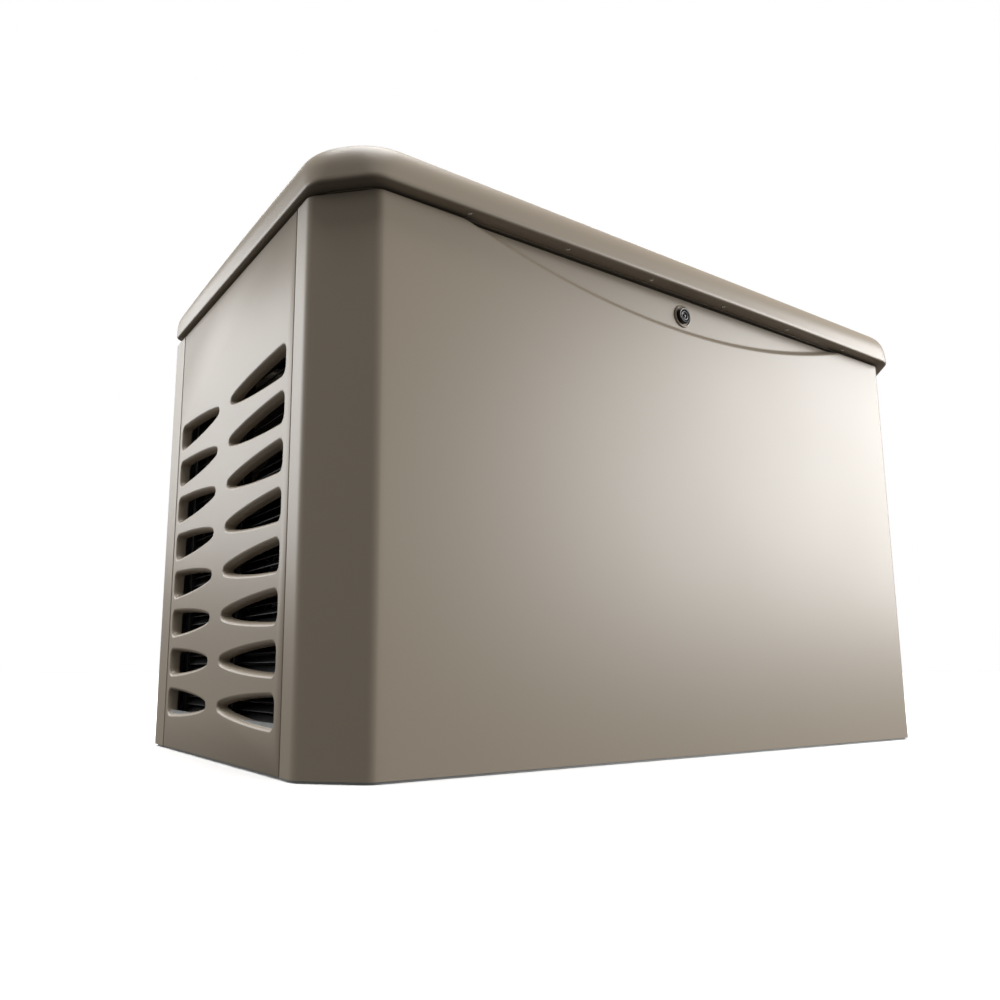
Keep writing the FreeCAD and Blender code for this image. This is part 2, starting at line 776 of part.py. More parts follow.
def top_end():
    plugs = []
    blocks = []
    pipes = []
    for side, x, name in ((FRONT, s.front_bank_x, "front"), (REAR, s.rear_bank_x, "rear")):
        barrel = bank_rod(side, x, s.bank_distance, head_low, s.bore_radius + 7)
        fins = [
            bank_rod(side, x, s.bank_distance + 12 + 9 * i, s.bank_distance + 14.5 + 9 * i, s.fin_radius)
            for i in range(7)
        ]
        bore = bank_rod(side, x, s.bank_distance - 1, head_low + 1, s.bore_radius)
        node(f"{name}_cylinder", cut(fuse(barrel, *fins), bore))

        block = head_block(side, x)
        blocks.append(head_block(side, x))
        y = s.crank_y + port_distance * (COS_45 * side)
        port = rod("X", x + HEAD_HALF - 30, x + HEAD_HALF + 1, y, exhaust_z, s.port_radius - 2)
        plug_hole = rod("X", x - HEAD_HALF - 1, x - HEAD_HALF + 14, y, exhaust_z, 7)
        grooves = [
            turned_box(-45 * side, (x - HEAD_HALF - 1, x + HEAD_HALF + 1), (edge, edge + 12),
                       (head_low + 8 + 10 * i, head_low + 12 + 10 * i))
            for i in range(3)
            for edge in ((-HEAD_HALF - 1) if side == FRONT else (HEAD_HALF - 11),)
        ]
        node(f"{name}_head", cut(block, port, plug_hole, *grooves))

        cover = turned_box(-45 * side, (x - 42, x + 42), (-36, 36), (head_high, head_high + s.cover_height))
        hollow = turned_box(-45 * side, (x - 39, x + 39), (-33, 33),
                            (head_high - 1, head_high + s.cover_height - 3))
        node(f"{name}_rocker_cover", cut(cover, hollow))

        insulator = rod("X", x - HEAD_HALF - 34, x - HEAD_HALF - 8, y, exhaust_z, 6)
        hexagon = rod("X", x - HEAD_HALF - 8, x - HEAD_HALF, y, exhaust_z, 10)
        thread = rod("X", x - HEAD_HALF, x - HEAD_HALF + 12, y, exhaust_z, 7)
        plugs.append(fuse(insulator, hexagon, thread))

        pipe = rod("X", x + HEAD_HALF, s.muffler_x, y, exhaust_z, s.pipe_radius)
        pipe_bore = rod("X", x + HEAD_HALF, s.muffler_x, y, exhaust_z, s.pipe_radius - 2)
        pipes.append(cut(pipe, pipe_bore, muffler_skin()))
    node("spark_plugs", group(plugs))
    node("exhaust_pipes", group(pipes))

    middle_x = (s.front_bank_x + s.rear_bank_x) / 2
    runner_z = exhaust_z + HEAD_HALF * COS_45
    plenum = box((s.rear_bank_x - 20, s.front_bank_x + 20), (s.crank_y - 40, s.crank_y + 40),
                 (runner_z - 15, runner_z + 17))
    room = box((s.rear_bank_x - 17, s.front_bank_x + 17), (s.crank_y - 37, s.crank_y + 37),
               (runner_z - 12, runner_z + 14))
    arms = [
        rod("Y", s.crank_y + 130 * min(side, 0), s.crank_y + 130 * max(side, 0), x, runner_z,
            s.port_radius - 4)
        for side, x in ((FRONT, s.front_bank_x), (REAR, s.rear_bank_x))
    ]
    mouth = rod("Z", runner_z, runner_z + 20, middle_x, s.crank_y, 22)
    node("intake_manifold", cut(fuse(plenum, *arms), room, mouth, *blocks))

    throat_low = runner_z + 17
    throat_high = throat_low + 60
    shaft_z = throat_low + 32
    body = rod("Z", throat_low, throat_high, middle_x, s.crank_y, 30)
    throat = rod("Z", throat_low - 1, throat_high + 1, middle_x, s.crank_y, 22)
    cross = rod("X", middle_x - 40, middle_x + 40, s.crank_y, shaft_z, 4 + s.running_gap)
    node("throttle_body", cut(body, throat, cross))
    shaft = rod("X", middle_x - 32, middle_x + 42, s.crank_y, shaft_z, 4)
    disc = rod("Z", shaft_z - 1, shaft_z + 1, middle_x, s.crank_y, 21.5)
    lever = box((middle_x + 34, middle_x + 38), (s.crank_y - 5, s.crank_y + 5), (shaft_z, shaft_z + 24))
    node("throttle_plate", fuse(shaft, disc, lever))

    tray = box((middle_x - 90, middle_x + 90), (s.crank_y - 75, s.crank_y + 75),
               (throat_high, throat_high + 6))
    hole = rod("Z", throat_high - 1, throat_high + 7, middle_x, s.crank_y, 22)
    node("air_cleaner_base", cut(tray, hole))
    cover = box((middle_x - 86, middle_x + 86), (s.crank_y - 71, s.crank_y + 71),
                (throat_high + 6, throat_high + 80))
    inside = box((middle_x - 83, middle_x + 83), (s.crank_y - 68, s.crank_y + 68),
                 (throat_high + 5, throat_high + 77))
    node("air_cleaner_cover", cut(cover, inside))


def muffler_skin(inset=0):
    return rod("Y", s.crank_y - 210 + inset, s.crank_y + 230 - inset, s.muffler_x, exhaust_z,
               s.muffler_radius - inset)


def exhaust():
    tail_y = s.crank_y + 80
    tail_end = half_length - 20
    tail = rod("X", s.muffler_x, tail_end, tail_y, exhaust_z, 22)
    tail_bore = rod("X", s.muffler_x, tail_end + 1, tail_y, exhaust_z, 20)
    inlets = [
        rod("X", s.muffler_x - s.muffler_radius - 5, s.muffler_x,
            s.crank_y + port_distance * (COS_45 * side), exhaust_z, s.pipe_radius - 2)
        for side in (FRONT, REAR)
    ]
    node("muffler", cut(fuse(muffler_skin(), tail), muffler_skin(2), tail_bore, *inlets))
    stands = []
    for y in (s.crank_y - 170, s.crank_y + 180):
        leg = box((s.muffler_x - 50, s.muffler_x + 50), (y, y + 4), (s.sheet, exhaust_z))
        foot = box((s.muffler_x - 50, s.muffler_x + 50), (y, y + 30), (s.sheet, s.sheet + 4))
        stands.append(cut(fuse(leg, foot), muffler_skin(-0.3)))
    node("muffler_stands", group(stands))


def alternator():
    radius = s.alternator_radius
    left = s.case_right
    right = s.alternator_right
    core_left = left + 50
    core_right = right - 60
    adapter = crank_rod(left, core_left, radius)
    node("alternator_adapter", cut(adapter, crank_rod(left - 1, core_left + 1, radius - 10)))
    stack = crank_rod(core_left, core_right, radius)
    foot = box((core_left + 20, core_right - 20), (s.crank_y - 80, s.crank_y + 80), (deck, s.crank_z - 100))
    bore = crank_rod(core_left - 1, core_right + 1, s.rotor_radius + s.air_gap)
    node("alternator_stator", cut(fuse(stack, foot), bore))
    windings = [
        cut(crank_rod(a, b, 118), crank_rod(a - 1, b + 1, s.rotor_radius + 4))
        for a, b in ((core_left - 22, core_left), (core_right, core_right + 22))
    ]
    node("stator_windings", group(windings))
    cup = crank_rod(core_right, right, radius)
    room = crank_rod(core_right - 1, right - 10, radius - 8)
    seat = crank_rod(core_right, right + 1, s.crank_radius + s.running_gap)
    vents = [
        turned_box(45 * i, (right - 11, right + 1), (-12, 12), (60, 100))
        for i in range(8)
    ]
    node("end_bracket", cut(cup, room, seat, *vents))


def fuel_system():
    x = -430
    z = 110
    fitting = rod("Y", rear_y - 45, rear_y - 2, x, z, 14)
    plate = box((x - 25, x + 25), (rear_y - 37, rear_y - 33), (s.sheet, z + 20))
    valve = box((x - 20, x + 20), (rear_y - 85, rear_y - 45), (z - 20, z + 20))
    coil = rod("Z", z + 20, z + 65, x, rear_y - 65, 16)
    thread = rod("Y", rear_y - 27, rear_y - 1, x, z, 10)
    node("fuel_inlet_valve", cut(fuse(fitting, plate, valve, coil), thread))
    regulator_x = x + 130
    disc = rod("Y", rear_y - 92, rear_y - 50, regulator_x, 200, 48)
    rim = rod("Y", rear_y - 92, rear_y - 86, regulator_x, 200, 56)
    stem = box((regulator_x - 15, regulator_x + 15), (rear_y - 80, rear_y - 56), (s.sheet, 160))
    node("fuel_regulator", fuse(disc, rim, stem))
    hose_y = rear_y.value - 65
    middle_x = (s.front_bank_x.value + s.rear_bank_x.value) / 2
    throttle_z = exhaust_z.value + HEAD_HALF * COS_45 + 17 + 12
    feed = hose_shape(
        [(x + 20, hose_y, z), (x + 60, hose_y, z), (x + 60, hose_y, 200), (regulator_x - 48, hose_y, 200)],
        7, 18)
    riser = hose_shape(
        [(regulator_x, hose_y, 248), (regulator_x, hose_y, throttle_z),
         (regulator_x, s.crank_y.value, throttle_z)],
        9, 45)
    trim = rod("Z", throttle_z - 30, throttle_z + 60, middle_x, s.crank_y, 30)
    trim_low = rod("Y", rear_y - 92, rear_y - 50, regulator_x, 200, 48)
    node("fuel_hoses", group([cut(feature(feed), trim_low), cut(feature(riser), trim)]))


def electrical():
    base = s.sheet
    case = box((400, 560), (-220, -60), (base, base + s.battery_height))
    posts = [
        rod("Z", base + s.battery_height, base + s.battery_height + 16, 430, -190, 9),
        rod("Z", base + s.battery_height, base + s.battery_height + 16, 530, -90, 9),
    ]
    node("battery", fuse(case, *posts))
    top = base.value + s.battery_height.value + 16
    end_x = s.case_left.value + 140
    live = hose_shape(
        [(430, -190, top), (430, -190, 250), (-245, -190, 250),
         (-245, starter_y.value, 250), (end_x, starter_y.value, 250)],
        6, 20)
    ground_x = s.alternator_right.value + 20
    earth = hose_shape(
        [(530, -90, top), (530, -90, 240), (ground_x + 45, -90, 240),
         (ground_x + 45, -90, 44), (ground_x, -90, 44)],
        6, 20)
    node("battery_cables", group([feature(live), feature(earth)]))

    low = s.control_bottom
    shelf = box((170, 540), (front_y + 47.5, -140), (low - 3, low))
    node("control_shelf", shelf)
    high = low + s.control_height
    case = box((330, 530), (-250, -150), (low, high))
    room = box((333, 527), (-247, -153), (low - 1, high - 3))
    screen = box((352, 428), (-236, -178), (high - 4, high + 1))
    bores = []
    for i, name in enumerate(("run_button", "test_button", "stop_button")):
        x = 452 + 26 * i
        cap = rod("Z", high - 5, high + 5, x, -205, s.button_radius)
        skirt = rod("Z", high - 8, high - 3.5, x, -205, s.button_radius + 2)
        node(name, fuse(cap, skirt))
        bores.append(rod("Z", high - 4, high + 1, x, -205, s.button_radius + s.running_gap))
    node("controller_case", cut(case, room, screen, *bores))
    node("controller_display", box((352.2, 427.8), (-235.8, -178.2), (high - 3, high - 0.5)))

    pivot_y = -215
    pivot_z = high - 28
    block = box((190, 300), (-250, -180), (low, high - 20))
    slot = box((225, 265), (-245, -185), (low + 40, high))
    bore = rod("X", 214, 276, pivot_y, pivot_z, 4 + s.running_gap)
    node("breaker_body", cut(block, slot, bore))
    pin = rod("X", 216, 274, pivot_y, pivot_z, 4)
    boss = rod("X", 226, 264, pivot_y, pivot_z, 8)
    handle = box((235, 255), (pivot_y - 4, pivot_y + 4), (pivot_z, high + 4))
    node("breaker_lever", fuse(pin, boss, handle))


def intake_grille():
    left = -half_length + 26
    right = left + 15
    front = seam_front + 6
    rear = seam_rear - 8
    frame = box((left, right), (front, rear), (s.sheet, 675))
    window = box((left - 1, right + 1), (front + 12, rear - 12), (s.sheet + 15, 663))
    bars = [
        box((left + 2, right - 2), (front + 11, rear - 11), (30 + 22 * i, 34 + 22 * i))
        for i in range(29)
    ]
    middle = (front + rear) / 2
    mullion = box((left, right), (middle - 6, middle + 6), (s.sheet + 14, 664))
    node("intake_grille", fuse(cut(frame, window), mullion, *bars))


engine_bed()
crankcase()
rotating_parts()
blower_and_starter()
top_end()
exhaust()
alternator()
fuel_system()
electrical()
intake_grille()

doc.recompute()
for obj in doc.Objects:
    if any(state in ("Invalid", "Error") for state in obj.State):
        raise RuntimeError(f"{obj.Name} ({obj.Label}) failed: {obj.State}")
for name, obj in nodes.items():
    if obj.Shape.isNull() or not obj.Shape.isValid():
        raise RuntimeError(f"{name} has no valid shape")
os.makedirs("parts", exist_ok=True)
for name, obj in nodes.items():
    obj.Shape.exportStep(f"parts/{name}.step")
    bounds = obj.Shape.BoundBox
    print(name, len(obj.Shape.Solids), f"{bounds.XMin:.1f}..{bounds.XMax:.1f}",
          f"{bounds.YMin:.1f}..{bounds.YMax:.1f}", f"{bounds.ZMin:.1f}..{bounds.ZMax:.1f}")
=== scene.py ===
import json
import math

import bpy
from mathutils import Matrix, Vector


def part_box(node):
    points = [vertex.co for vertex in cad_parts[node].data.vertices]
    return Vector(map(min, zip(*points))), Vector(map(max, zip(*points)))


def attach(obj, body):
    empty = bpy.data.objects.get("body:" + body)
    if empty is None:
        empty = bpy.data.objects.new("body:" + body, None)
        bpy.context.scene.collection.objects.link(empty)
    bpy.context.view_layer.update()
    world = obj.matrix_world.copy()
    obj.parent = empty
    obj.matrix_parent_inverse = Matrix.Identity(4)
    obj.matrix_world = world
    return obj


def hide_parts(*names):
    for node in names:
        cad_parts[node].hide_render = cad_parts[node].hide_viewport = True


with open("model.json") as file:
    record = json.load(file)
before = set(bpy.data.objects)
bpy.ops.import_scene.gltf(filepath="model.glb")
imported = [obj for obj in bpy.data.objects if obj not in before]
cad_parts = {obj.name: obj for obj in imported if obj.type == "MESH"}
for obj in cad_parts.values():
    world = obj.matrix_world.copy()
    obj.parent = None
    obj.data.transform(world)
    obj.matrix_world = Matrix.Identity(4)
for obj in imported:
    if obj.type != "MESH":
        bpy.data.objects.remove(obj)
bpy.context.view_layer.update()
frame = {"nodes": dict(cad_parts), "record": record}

bl_info = {
    "name": "Home standby generator",
    "version": (1, 0, 0),
    "blender": (4, 5, 0),
    "location": "View3D > Sidebar > Generator",
    "description": "Finishes the generator's cabinet, engine and controls over its CAD frame",
    "category": "Object",
}

PANEL_LOW, PANEL_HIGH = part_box("front_panel")
END_LOW, END_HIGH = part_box("left_end_panel")
ROOF_LOW, ROOF_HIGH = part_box("roof_lid")


def mm(value):
    """Millimetres to the scene's metres."""
    return value / 1000


# ---------------------------------------------------------------- settings


class GeneratorSizes(bpy.types.PropertyGroup):
    """Sizes of the visible mouldings that the CAD frame leaves plain."""

    rim_width: bpy.props.FloatProperty(
        name="Rim width", description="Width of the rolled rim round each air opening",
        default=mm(6.5), unit="LENGTH")
    rim_depth: bpy.props.FloatProperty(
        name="Rim depth", description="How far the rim rolls inwards",
        default=mm(9), unit="LENGTH")
    wall_depth: bpy.props.FloatProperty(
        name="Wall depth", description="Straight wall behind each rolled rim",
        default=mm(6), unit="LENGTH")
    recess_step: bpy.props.FloatProperty(
        name="Recess step", description="Width of the soft step round the set-back area",
        default=mm(9), unit="LENGTH")
    recess_depth: bpy.props.FloatProperty(
        name="Recess depth", description="Depth of the set-back area under the roof",
        default=mm(7), unit="LENGTH")
    corner_round: bpy.props.FloatProperty(
        name="Corner rounding", description="Rounding of the front panel's upright edges",
        default=mm(18), unit="LENGTH")
    roof_round: bpy.props.FloatProperty(
        name="Roof rounding",
        description="How far the rounding between band and crown reaches inwards",
        default=mm(16), unit="LENGTH")
    roof_shoulder: bpy.props.FloatProperty(
        name="Roof shoulder", description="How far that rounding reaches down the band",
        default=mm(33), unit="LENGTH")


class GeneratorColours(bpy.types.PropertyGroup):
    """Colours of the main finishes, as sRGB hex values."""

    cabinet: bpy.props.StringProperty(
        name="Cabinet", description="Moulded cabinet panels and roof", default="9A8E7E")
    steel: bpy.props.StringProperty(
        name="Black steel", description="Powder-coated steel parts", default="17181A")
    engine: bpy.props.StringProperty(
        name="Castings", description="As-cast aluminium parts", default="A8AAAA")


# ---------------------------------------------------------------- mesh helpers


def clear_selection():
    """Nothing stays selected, so that an operator acts only on the new piece."""
    if bpy.context.object and bpy.context.object.mode != "OBJECT":
        bpy.ops.object.mode_set(mode="OBJECT")
    bpy.ops.object.select_all(action="DESELECT")


def select_only(piece):
    """Selects one piece alone and makes it the active one."""
    clear_selection()
    piece.select_set(True)
    bpy.context.view_layer.objects.active = piece


def edit_all():
    """Opens the active piece in edit mode with all of it selected."""
    bpy.ops.object.mode_set(mode="EDIT")
    bpy.ops.mesh.select_all(action="SELECT")


def leave_edit():
    """Goes back to object mode."""
    bpy.ops.object.mode_set(mode="OBJECT")


def apply_modifier(piece, kind, **settings):
    """Adds a modifier with its settings and applies it to the mesh."""
    modifier = piece.modifiers.new(kind.title(), kind)
    for name, value in settings.items():
        setattr(modifier, name, value)
    bpy.context.view_layer.objects.active = piece
    bpy.ops.object.modifier_apply(modifier=modifier.name)


def smooth(piece, degrees=32):
    """Shades the piece smooth and keeps edges sharper than the angle hard."""
    select_only(piece)
    bpy.ops.object.shade_smooth_by_angle(angle=math.radians(degrees))
    for modifier in list(piece.modifiers):
        bpy.ops.object.modifier_apply(modifier=modifier.name)


def join(name, parts):
    """Joins the parts into one piece and names it."""
    clear_selection()
    for part in parts:
        part.select_set(True)
    bpy.context.view_layer.objects.active = parts[0]
    if len(parts) > 1:
        bpy.ops.object.join()
    piece = bpy.context.object
    piece.name = name
    piece.data.name = name
    return piece


def settle(piece):
    """Puts the piece's place, turn and scale into its mesh."""
    select_only(piece)
    bpy.ops.object.transform_apply(location=True, rotation=True, scale=True)


def skin(name, columns, rows, place, closed=False):
    """A grid laid on a formula: place(column, row) gives each corner of the skin."""
    clear_selection()
    bpy.ops.mesh.primitive_grid_add(x_subdivisions=columns, y_subdivisions=rows, size=1)
    piece = bpy.context.object
    piece.name = name
    for corner in piece.data.vertices:
        column = round((corner.co.x + 0.5) * columns)
        row = round((corner.co.y + 0.5) * rows)
        corner.co = place(column, row)
    edit_all()
    if closed:
        bpy.ops.mesh.remove_doubles(threshold=mm(0.01))
    bpy.ops.mesh.normals_make_consistent(inside=False)
    leave_edit()
    return piece


def face_away_from(piece, inner):
    """Turns the faces of an open skin so that they point away from an inner point."""
    total = sum((face.center - inner).dot(face.normal) * face.area for face in piece.data.polygons)
    if total < 0:
        edit_all()
        bpy.ops.mesh.flip_normals()
        leave_edit()


def turned(name, profile, centre, axis="Z", steps=48):
    """A lathe-turned piece: profile pairs are radius and distance along the axis, in mm."""
    points = [(mm(radius), mm(along)) for radius, along in profile]

    def place(column, row):
        angle = 2 * math.pi * column / steps
        radius, along = points[row]
        across = (radius * math.cos(angle), radius * math.sin(angle))
        local = {
            "X": Vector((along, across[0], across[1])),
            "Y": Vector((across[0], along, across[1])),
            "Z": Vector((across[0], across[1], along)),
        }[axis]
        return Vector(centre) + local

    piece = skin(name, steps, len(points) - 1, place, closed=True)
    edit_all()
    bpy.ops.mesh.fill_holes(sides=0)
    bpy.ops.mesh.normals_make_consistent(inside=False)
    leave_edit()
    return piece


def block(name, low, high, bevel=2, segments=3):
    """A box with softened edges between two corners given in mm."""
    clear_selection()
    low = Vector(low) / 1000
    high = Vector(high) / 1000
    bpy.ops.mesh.primitive_cube_add(size=1, location=(low + high) / 2)
    piece = bpy.context.object
    piece.name = name
    piece.scale = high - low
    settle(piece)
    edit_all()
    bpy.ops.mesh.bevel(offset=mm(bevel), segments=segments, affect="EDGES")
    leave_edit()
    return piece


def hexagon_head(centre, radius=5, height=4, axis="Z"):
    """A flanged hexagon screw head, washer face down the axis."""
    clear_selection()
    turn = {"X": (0, math.pi / 2, 0), "Y": (math.pi / 2, 0, 0), "Z": (0, 0, 0)}[axis]
    bpy.ops.mesh.primitive_cylinder_add(
        vertices=6, radius=mm(radius), depth=mm(height), location=centre, rotation=turn)
    piece = bpy.context.object
    settle(piece)
    edit_all()
    bpy.ops.mesh.bevel(offset=mm(0.4), segments=1, affect="EDGES")
    leave_edit()
    return piece


def finish_piece(piece, body, material, nodes=()):
    """Gives a piece its material and body, and hides the CAD nodes that it stands for."""
    piece.data.materials.clear()
    piece.data.materials.append(material)
    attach(piece, body)
    if nodes:
        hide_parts(*nodes)
    return piece


def corner_path(points, radius, closed=False, steps=6, per_side=1, divide=None):
    """Follows an outline with its corners rounded. divide maps a side to its number of parts."""
    count = len(points)
    path = []
    last = count if closed else count - 1
    divide = divide or {}

    def rounded(i):
        before = Vector(points[i - 1]) - Vector(points[i])
        after = Vector(points[(i + 1) % count]) - Vector(points[i])
        half = before.angle(after) / 2
        size = radius[i] if isinstance(radius, (list, tuple)) else radius
        reach = size / math.tan(half)
        start = Vector(points[i]) + before.normalized() * reach
        end = Vector(points[i]) + after.normalized() * reach
        bisector = (before.normalized() + after.normalized()).normalized()
        middle = Vector(points[i]) + bisector * size / math.sin(half)
        turn = (start - middle).angle_signed(end - middle)
        arc = []
        for k in range(steps + 1):
            spin = Matrix.Rotation(-turn * k / steps, 2)
            arc.append(middle + spin @ (start - middle))
        return arc

    arcs = []
    for i in range(count):
        sharp = not closed and i in (0, count - 1)
        arcs.append([Vector(points[i])] if sharp else rounded(i))
    for i in range(last):
        path.extend(arcs[i])
        start = arcs[i][-1]
        end = arcs[(i + 1) % count][0]
        parts = divide.get(i, per_side)
        for k in range(1, parts):
            path.append(start.lerp(end, k / parts))
    if not closed:
        path.extend(arcs[-1])
    return path


# ---------------------------------------------------------------- finishes


def linear(hex_value):
    """An sRGB hex colour as the linear colour that shaders use."""
    channels = [int(hex_value[i:i + 2], 16) / 255 for i in (0, 2, 4)]
    return tuple(
        c / 12.92 if c <= 0.04045 else ((c + 0.055) / 1.055) ** 2.4 for c in channels) + (1.0,)


def add_node(tree, kind, settings=None, links=None, **properties):
    """Adds a node, sets its properties and sockets, and links sockets from other nodes' outputs."""
    node = tree.nodes.new(kind)
    for name, value in properties.items():
        setattr(node, name, value)
    for socket, value in (settings or {}).items():
        node.inputs[socket].default_value = value
    for socket, output in (links or {}).items():
        tree.links.new(output, node.inputs[socket])
    return node


def finish(name, colour, roughness=0.5, metallic=0.0, grain_mm=0.5, bump=0.1, vary=0.06,
           patch_mm=60, rough_vary=0.08, coat=0.0, stretch=(1, 1, 1), ior=1.5, wear=0.0):
    """A procedural finish: fine grain in the bump, and slow patches in colour and roughness.

    Where the real grain would be too fine to show, grain_mm is drawn coarser than it.
    """
    material = bpy.data.materials.new(name)
    material.use_nodes = True
    tree = material.node_tree
    tree.nodes.clear()
    output = add_node(tree, "ShaderNodeOutputMaterial")
    shader = add_node(tree, "ShaderNodeBsdfPrincipled", {
        "Metallic": metallic, "IOR": ior, "Coat Weight": coat, "Coat Roughness": 0.25})
    place = add_node(tree, "ShaderNodeTexCoord")
    turned_place = add_node(tree, "ShaderNodeMapping", {"Scale": stretch},
                            {"Vector": place.outputs["Object"]})
    grain = add_node(tree, "ShaderNodeTexNoise", {"Scale": 1000 / grain_mm, "Detail": 3.0},
                     {"Vector": turned_place.outputs["Vector"]})
    patch = add_node(tree, "ShaderNodeTexNoise", {"Scale": 1000 / patch_mm, "Detail": 4.0},
                     {"Vector": turned_place.outputs["Vector"]})
    base = linear(colour)
    dark = tuple(c * (1 - vary) for c in base[:3]) + (1.0,)
    light = tuple(min(1.0, c * (1 + vary)) for c in base[:3]) + (1.0,)
    tint = add_node(tree, "ShaderNodeMix", {6: dark, 7: light}, {0: patch.outputs["Fac"]},
                    data_type="RGBA")
    colour_out = tint.outputs[2]
    if wear:
        edges = add_node(tree, "ShaderNodeNewGeometry")
        band = add_node(tree, "ShaderNodeMapRange",
                        {"From Min": 0.52, "From Max": 0.62, "To Min": 0.0, "To Max": wear},
                        {"Value": edges.outputs["Pointiness"]})
        bright = tuple(min(1.0, c * 1.8 + 0.05) for c in base[:3]) + (1.0,)
        worn = add_node(tree, "ShaderNodeMix", {7: bright},
                        {0: band.outputs["Result"], 6: colour_out}, data_type="RGBA")
        colour_out = worn.outputs[2]
    dull = add_node(tree, "ShaderNodeMapRange",
                    {"To Min": roughness - rough_vary, "To Max": roughness + rough_vary},
                    {"Value": patch.outputs["Fac"]})
    raised = add_node(tree, "ShaderNodeBump", {"Strength": bump, "Distance": mm(grain_mm) / 2},
                      {"Height": grain.outputs["Fac"]})
    tree.links.new(colour_out, shader.inputs["Base Color"])
    tree.links.new(dull.outputs["Result"], shader.inputs["Roughness"])
    tree.links.new(raised.outputs["Normal"], shader.inputs["Normal"])
    tree.links.new(shader.outputs["BSDF"], output.inputs["Surface"])
    return material


def make_finishes(colours):
    """Every finish on the generator, by a short name."""
    return {
        # moulded ASA, satin: a fine even mould grain that spreads highlights into soft gradients
        "cabinet": finish("satin_moulded_asa", colours.cabinet, 0.40, grain_mm=1.2, bump=0.035,
                          vary=0.018, patch_mm=240, rough_vary=0.025),
        # glass-filled nylon straight from the mould: deep black with a dull sheen
        "black_plastic": finish("moulded_black_nylon", "121214", 0.46, grain_mm=1.2, bump=0.12,
                                vary=0.2, patch_mm=30),
        # polished die-cast lock parts under black lacquer: small sharp highlights
        "black_gloss": finish("black_lacquered_zinc", "080808", 0.36, grain_mm=1.5, bump=0.03,
                              vary=0.1, patch_mm=12),
        # hot-dip galvanised sheet: large faint crystals
        "galvanised": finish("galvanised_sheet", "A9ACAD", 0.42, 0.9, grain_mm=9, bump=0.03,
                             vary=0.16, patch_mm=14, rough_vary=0.14),
        # powder coat on pressed steel: slight orange peel, brighter on worn edges
        "black_steel": finish("black_powder_coat", colours.steel, 0.38, grain_mm=2.2, bump=0.14,
                              vary=0.15, patch_mm=50, wear=0.12),
        # sand-cast aluminium: rough grey skin
        "casting": finish("sand_cast_aluminium", colours.engine, 0.52, 0.85, grain_mm=1.6, bump=0.3,
                          vary=0.14, patch_mm=22, rough_vary=0.12),
        # ground steel: fine lay round the part and oil-dulled patches
        "steel": finish("ground_steel", "B9BABA", 0.28, 1.0, grain_mm=0.8, bump=0.06, vary=0.1,
                        patch_mm=18, rough_vary=0.1),
        # varnished winding wire: glossy coppery brown
        "copper": finish("varnished_copper", "9A5A33", 0.32, 0.7, grain_mm=1.4, bump=0.6, vary=0.22,
                         patch_mm=8, coat=0.3, stretch=(1, 0.25, 0.25)),
        # stacked electrical steel: thin dark laminations along the length
        "laminations": finish("stacked_laminations", "55585C", 0.45, 0.8, grain_mm=1.0, bump=0.5,
                              vary=0.15, patch_mm=12, stretch=(1, 0.02, 0.02)),
        # aluminised steel after heat: straw and brown staining
        "exhaust": finish("heat_stained_steel", "8F8375", 0.36, 0.95, grain_mm=1.5, bump=0.08,
                          vary=0.35, patch_mm=70, rough_vary=0.14),
        # vulcanised rubber: dark and dull
        "rubber": finish("moulded_rubber", "101011", 0.72, grain_mm=1.0, bump=0.15, vary=0.2,
                         patch_mm=20),
        # open-cell polyurethane foam: coarse pores
        "foam": finish("open_cell_foam", "1C1C1E", 0.95, grain_mm=2.5, bump=1.0, vary=0.35,
                       patch_mm=6),
        # baked enamel on a thin can: clean and glossy
        "enamel": finish("white_baked_enamel", "DADAD4", 0.22, grain_mm=1.5, bump=0.03, vary=0.03,
                         patch_mm=60, coat=0.5),
        # polypropylene battery case: black with a soft sheen
        "battery": finish("polypropylene_case", "17181C", 0.42, grain_mm=0.8, bump=0.1, vary=0.12,
                          patch_mm=40),
        # bright zinc plate: pale metal, dulled in small patches
        "zinc": finish("bright_zinc_plate", "C9CBC8", 0.26, 1.0, grain_mm=1.2, bump=0.05, vary=0.08,
                       patch_mm=10, rough_vary=0.1),
        # display window: dark smoked acrylic
        "window": finish("smoked_acrylic", "0F1614", 0.1, grain_mm=3, bump=0.0, vary=0.1,
                         patch_mm=30, coat=1.0),
        # polished ABS button caps: even colour with a clear highlight
        "green": finish("green_button_abs", "1E7A34", 0.3, grain_mm=0.6, bump=0.05, patch_mm=10),
        # textured ABS instrument case: flat mid grey
        "grey": finish("grey_instrument_abs", "6E7174", 0.42, grain_mm=0.7, bump=0.1, vary=0.05,
                       patch_mm=50),
        # polished ABS, as the green cap
        "red": finish("red_button_abs", "A31A14", 0.3, grain_mm=0.6, bump=0.05, patch_mm=10),
        # moulded nylon pull: warm yellow with a soft shine
        "yellow": finish("yellow_nylon", "D9A516", 0.36, grain_mm=0.6, bump=0.06, patch_mm=12),
        # glazed alumina: clean white with a wet shine
        "ceramic": finish("glazed_ceramic", "E6E5DE", 0.12, grain_mm=2, bump=0.02, vary=0.03,
                          patch_mm=15, coat=0.6),
    }


FRAME_FINISHES = {
    "panel_taupe": "cabinet",
    "black_plastic": "black_plastic",
    "galvanised": "galvanised",
    "black_steel": "black_steel",
    "cast_aluminium": "casting",
    "machined_steel": "steel",
    "cast_iron": "casting",
    "copper": "copper",
    "laminated_steel": "laminations",
    "exhaust_steel": "exhaust",
    "rubber": "rubber",
    "foam": "foam",
    "oil_filter_paint": "enamel",
    "battery_case": "battery",
    "zinc": "zinc",
    "display_glass": "window",
    "green_plastic": "green",
    "grey_plastic": "grey",
    "red_plastic": "red",
    "yellow_plastic": "yellow",
    "ceramic": "ceramic",
}
FINISHES = {}


